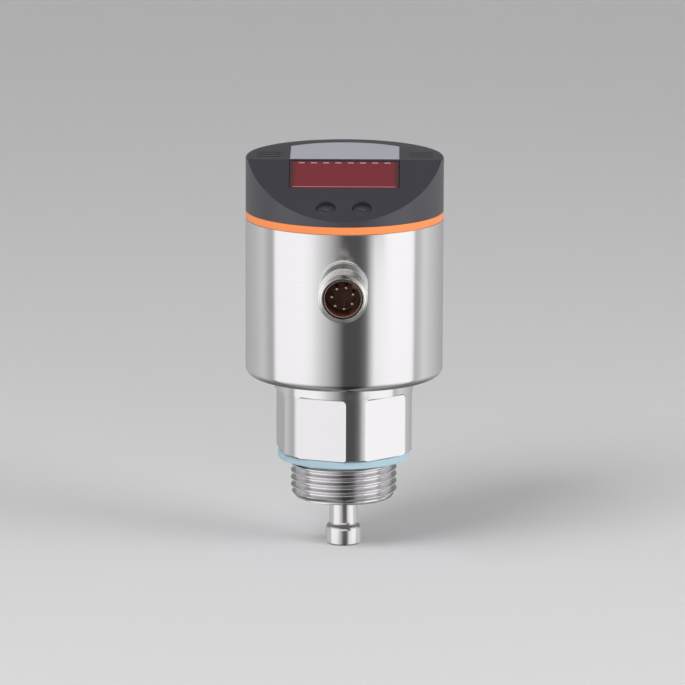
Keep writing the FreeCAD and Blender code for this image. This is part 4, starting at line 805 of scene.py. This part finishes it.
def window_filter():
    """A dark red filter with painted shade: a darker brown band along its border, where the frame shades
    it.
    """
    material, tree, shader = new_material("red_filter")
    x, _, z = object_place(tree)
    across = calculated(tree, "ABSOLUTE", x)
    sides = overlap(tree, (within(across, BORDER_SIDES),))
    top = overlap(tree, (within(z, BORDER_TOP),))
    foot = overlap(tree, (within(z, BORDER_FOOT),))
    # Painted shade: the border mask turns the red filter brown along its frame.
    border = calculated(tree, "MAXIMUM", calculated(tree, "MAXIMUM", sides, top), foot)
    colour = tinted(tree, border, FILTER_RED, BORDER_SHADE)
    tree.links.new(colour, shader.inputs["Base Color"])
    shader.inputs["Roughness"].default_value = 0.16
    shader.inputs["Coat Weight"].default_value = 0.5
    return material


def cap_finish():
    """Moulded anthracite with painted shade inside the grip grooves of the flat top: darker there, and
    with less specular light.
    """
    material = moulded_plastic("anthracite_cap", ANTHRACITE, 0.38)
    tree = material.node_tree
    shader = tree.nodes["Principled BSDF"]
    x, y, z = object_place(tree)
    across = calculated(tree, "MULTIPLY", x, x)
    along = calculated(tree, "MULTIPLY", y, y)
    out = calculated(tree, "SQRT", calculated(tree, "ADD", across, along))
    # Painted shade: inside the grooves the colour turns nearly black and the specular level drops.
    grooves = overlap(tree, (within(z, GROOVE_TOP), within(z, GROOVE_FLOOR),
                             within(y, GROOVE_FRONT), within(out, GROOVE_SIDE)))
    gloss = spread(tree, grooves, (0, 1), (CAP_GLOSS, GROOVE_GLOSS))
    tree.links.new(gloss, shader.inputs["Specular IOR Level"])
    plain = shader.inputs["Base Color"].links[0].from_socket
    colour = tinted(tree, grooves, plain, GROOVE_SHADE)
    tree.links.new(colour, shader.inputs["Base Color"])
    return material


print("colour of the cap:", ANTHRACITE)

# %% [markdown]
# Each piece names its finish by a slot, such as housing_steel or seal_blue, and the packed
# record does the same for the pieces inside. Materials could be given out piece by piece. One
# table of finishes by slot is easier to keep in step with the record, and shows all of them at
# a glance.

# %% Finishes by slot
STEEL = (0.81, 0.795, 0.81)
FINISHES = {
    "housing_steel": turned_metal("satin_housing_steel", STEEL, 0.15),
    "fitting_steel": turned_metal("turned_fitting_steel", STEEL, 0.17),
    "rod_steel": turned_metal("turned_rod_steel", STEEL, 0.24),
    "connector_metal": turned_metal("turned_plug_metal", (0.83, 0.82, 0.80), 0.20, axis=1),
    "plain_steel": turned_metal("plain_inner_steel", (0.6, 0.6, 0.61), 0.35),
    "spring_steel": turned_metal("dark_spring_steel", (0.3, 0.3, 0.32), 0.35),
    "contact_brass": turned_metal("socket_brass", (0.75, 0.55, 0.25), 0.28),
    "contact_gold": turned_metal("pin_gold", (0.72, 0.58, 0.40), 0.26, axis=1),
    "cap_plastic": cap_finish(),
    "trim_orange": moulded_plastic("orange_ring", (1.0, 0.29, 0.085), 0.40, variation=0.02),
    "seal_blue": moulded_plastic("blue_fibre_seal", (0.42, 0.58, 0.66), 0.75, grain=1500.0, strength=0.3),
    "window_red": window_filter(),
    "label_silver": moulded_plastic("silver_label", (0.53, 0.53, 0.61), 0.36, variation=0.04),
    "insert_plastic": moulded_plastic("brown_insert", (0.135, 0.040, 0.022), 0.30),
    "insulator": moulded_plastic("grey_insulator", (0.25, 0.215, 0.19), 0.5),
    "button_rubber": moulded_plastic("anthracite_button", (0.062, 0.059, 0.068), 0.42),
    "seal_black": moulded_plastic("black_rubber", (0.02, 0.02, 0.02), 0.6),
    "carrier_plastic": moulded_plastic("black_carrier", (0.05, 0.05, 0.055), 0.5),
    "board": moulded_plastic("green_board", (0.02, 0.16, 0.06), 0.4),
    "display_dark": moulded_plastic("dark_digit_block", (0.015, 0.012, 0.012), 0.3),
    # The pale lights finish also colours the lower line, a painted highlight on the window.
    "led_clear": moulded_plastic("pale_lights_and_glint", (0.44, 0.24, 0.26), 0.35),
    "switch_black": moulded_plastic("black_switch", (0.03, 0.03, 0.03), 0.45),
    "switch_plunger": moulded_plastic("grey_plunger", (0.25, 0.25, 0.25), 0.45),
}


def wear(piece, slot):
    """Give a piece the one finish of its slot."""
    piece.data.materials.clear()
    piece.data.materials.append(FINISHES[slot])


for part in frame["record"]["subparts"]:
    wear(nodes[part["node"]], part["material_slot"])
for piece in bpy.data.objects:
    if piece.type == "MESH" and "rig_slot" in piece:
        wear(piece, piece["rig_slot"])
print("finishes:", len(FINISHES))

# %% [markdown]
# The object stands on a plain pale sheet, as in a photographer's studio. A flat plane would show
# a horizon. This sheet lies flat and then rises in a round bend behind the object, so that floor
# and background run into each other.

# %% Floor
FLOOR = PROBE_END * MM
SHEET_NEAR, SHEET_FAR, SHEET_RISE, SHEET_BEND, SHEET_SIDE = -1.6, 1.6, 1.6, 0.6, 2.5
SHEET_COLOURS, SHEET_NOISE, BEND_POINTS = ((0.80, 0.80, 0.81), (0.83, 0.83, 0.84)), 3.0, 16


def make_floor():
    """A sheet that lies flat and then rises behind the object: a profile carried along X."""
    flat = SHEET_FAR - SHEET_BEND
    turn = np.linspace(0, math.pi / 2, BEND_POINTS)
    y = np.concatenate(([SHEET_NEAR, flat], flat + SHEET_BEND * np.sin(turn), [SHEET_FAR]))
    z = np.concatenate(([0, 0], SHEET_BEND * (1 - np.cos(turn)), [SHEET_RISE])) + FLOOR
    x = np.array((-SHEET_SIDE, SHEET_SIDE))
    points = np.stack(np.broadcast_arrays(x[:, None], y, z), axis=-1)
    floor = new_piece("floor", points / MM, grid_faces(2, len(y)))
    material, tree, shader = new_material("pale_floor")
    shade = stretched_noise(tree, (SHEET_NOISE, SHEET_NOISE, SHEET_NOISE), 2.0)
    tree.links.new(tinted(tree, shade, *SHEET_COLOURS), shader.inputs["Base Color"])
    shader.inputs["Roughness"].default_value = 0.8
    floor.data.materials.append(material)
    floor.visible_glossy = False
    print("floor at", FLOOR, "m")


make_floor()

# %% [markdown]
# Satin steel has hardly a colour of its own: it shows the room. The two bright bands on the
# housing are the image of two wide screens, left and right, with a dark gap between them. Large
# lamps could stand in for the screens. A world whose brightness follows the azimuth does the same
# with no lamp in the mirror, and each band is set by pairs of numbers: degrees, zero towards the
# camera and positive to its right, and a level. Overhead and underneath the room is darker.
# Three more screens begin above the level that the upright housing mirrors, so that they show in
# slanted and round places only, such as the plug: a dark one at the right, a bright one in front
# and a grey one behind.

# %% Studio world
STUDIO = (
    (-180, 0.36), (-129, 0.56), (-109, 0.68), (-98, 0.50), (-90.5, 0.46), (-88, 1.12), (-48, 1.16),
    (-38, 1.06), (-28, 0.81), (-19, 0.62), (-9, 0.34), (0, 0.07), (18, 0.08), (26, 0.17), (31, 0.62),
    (36, 1.12), (60, 1.20), (88, 1.18), (91.5, 0.50), (107, 0.80), (124, 0.66), (150, 0.48), (180, 0.36))
CEILING, CEILING_EDGE, UNDERSIDE_EDGE = 0.30, (0.3, 0.8), (-0.3, -0.65)
RIGHT_SCREEN, RIGHT_SCREEN_END = (0.50, 0.54), (0.90, 0.80)
RIGHT_SCREEN_FOOT, RIGHT_LEVEL = (-0.10, -0.04), 0.10
FRONT_SCREEN, FRONT_SCREEN_FOOT, FRONT_LEVEL = (0.84, 0.87), (0.08, 0.12), 1.15
BACK_SCREEN, BACK_SCREEN_FOOT, BACK_LEVEL = (-0.2, -0.5), (0.02, 0.12), 0.24


def make_studio():
    """A world whose brightness follows the azimuth, darker above and below, with three screens.

    The azimuth is the angle of the viewing direction about Z. Its share of the circle picks the
    level from a ramp, and the height of the direction multiplies it.
    """
    world = bpy.data.worlds.new("studio")
    world.use_nodes = True
    tree = world.node_tree
    place = tree.nodes.new("ShaderNodeTexCoord")
    parts = tree.nodes.new("ShaderNodeSeparateXYZ")
    tree.links.new(place.outputs["Generated"], parts.inputs[0])
    front = calculated(tree, "MULTIPLY", parts.outputs["Y"], -1.0)
    azimuth = calculated(tree, "ARCTAN2", parts.outputs["X"], front)
    share = calculated(tree, "MULTIPLY_ADD", azimuth, 1 / (2 * math.pi))
    share.node.inputs[2].default_value = 0.5
    ramp = tree.nodes.new("ShaderNodeValToRGB")
    marks = ramp.color_ramp.elements
    ends = {-180: 0, 180: -1}
    for angle, level in STUDIO:
        mark = marks[ends[angle]] if angle in ends else marks.new(angle / 360 + 0.5)
        mark.color = (level, level, level, 1)
    tree.links.new(share, ramp.inputs["Fac"])
    up = parts.outputs["Z"]
    above = spread(tree, up, CEILING_EDGE, (1.0, CEILING))
    below = spread(tree, up, UNDERSIDE_EDGE, (1.0, CEILING))
    strength = calculated(tree, "MULTIPLY", above, below)
    colour = ramp.outputs["Color"]
    for level, *masks in (
            (RIGHT_LEVEL, (azimuth, *RIGHT_SCREEN), (azimuth, *RIGHT_SCREEN_END),
             (up, *RIGHT_SCREEN_FOOT)),
            (FRONT_LEVEL, (front, *FRONT_SCREEN), (up, *FRONT_SCREEN_FOOT)),
            (BACK_LEVEL, (front, *BACK_SCREEN), (up, *BACK_SCREEN_FOOT))):
        colour = tinted(tree, overlap(tree, masks), colour, (level, level, level))
    shade = tree.nodes["Background"]
    tree.links.new(colour, shade.inputs["Color"])
    tree.links.new(strength, shade.inputs["Strength"])
    bpy.context.scene.world = world
    print("levels in the studio:", len(STUDIO))


make_studio()

# %% [markdown]
# Plastic, rubber and the seal mirror little of the studio, and the floor needs a shadow that
# shows where the object stands. A brighter world would spoil the bands on the steel. Two soft
# lamps that can't be seen in a mirror add light only where a surface is dull: a key from high at
# the left and a weaker fill from low at the right. The view transform keeps the tones as they
# are, because a film curve would wash out the orange ring.

# %% Lamps
LAMP_SIZE, LAMP_AIM = 0.5, Vector((0, 0, 0.03))
KEY_PLACE, KEY_POWER = (-0.45, -0.55, 0.8), 5
FILL_PLACE, FILL_POWER = (0.75, -0.40, 0.25), 4


def make_lamp(name, place, power):
    """A soft square lamp that shines on the object and that the steel doesn't mirror."""
    data = bpy.data.lights.new(name, "AREA")
    data.size = LAMP_SIZE
    data.energy = power
    lamp = bpy.data.objects.new(name, data)
    lamp.visible_glossy = False
    lamp.location = place
    lamp.rotation_euler = (LAMP_AIM - lamp.location).to_track_quat("-Z", "Y").to_euler()
    bpy.context.scene.collection.objects.link(lamp)
    print(name, "lamp, power in watts:", power)


make_lamp("key", KEY_PLACE, KEY_POWER)
make_lamp("fill", FILL_PLACE, FILL_POWER)
bpy.context.scene.view_settings.view_transform = "Standard"
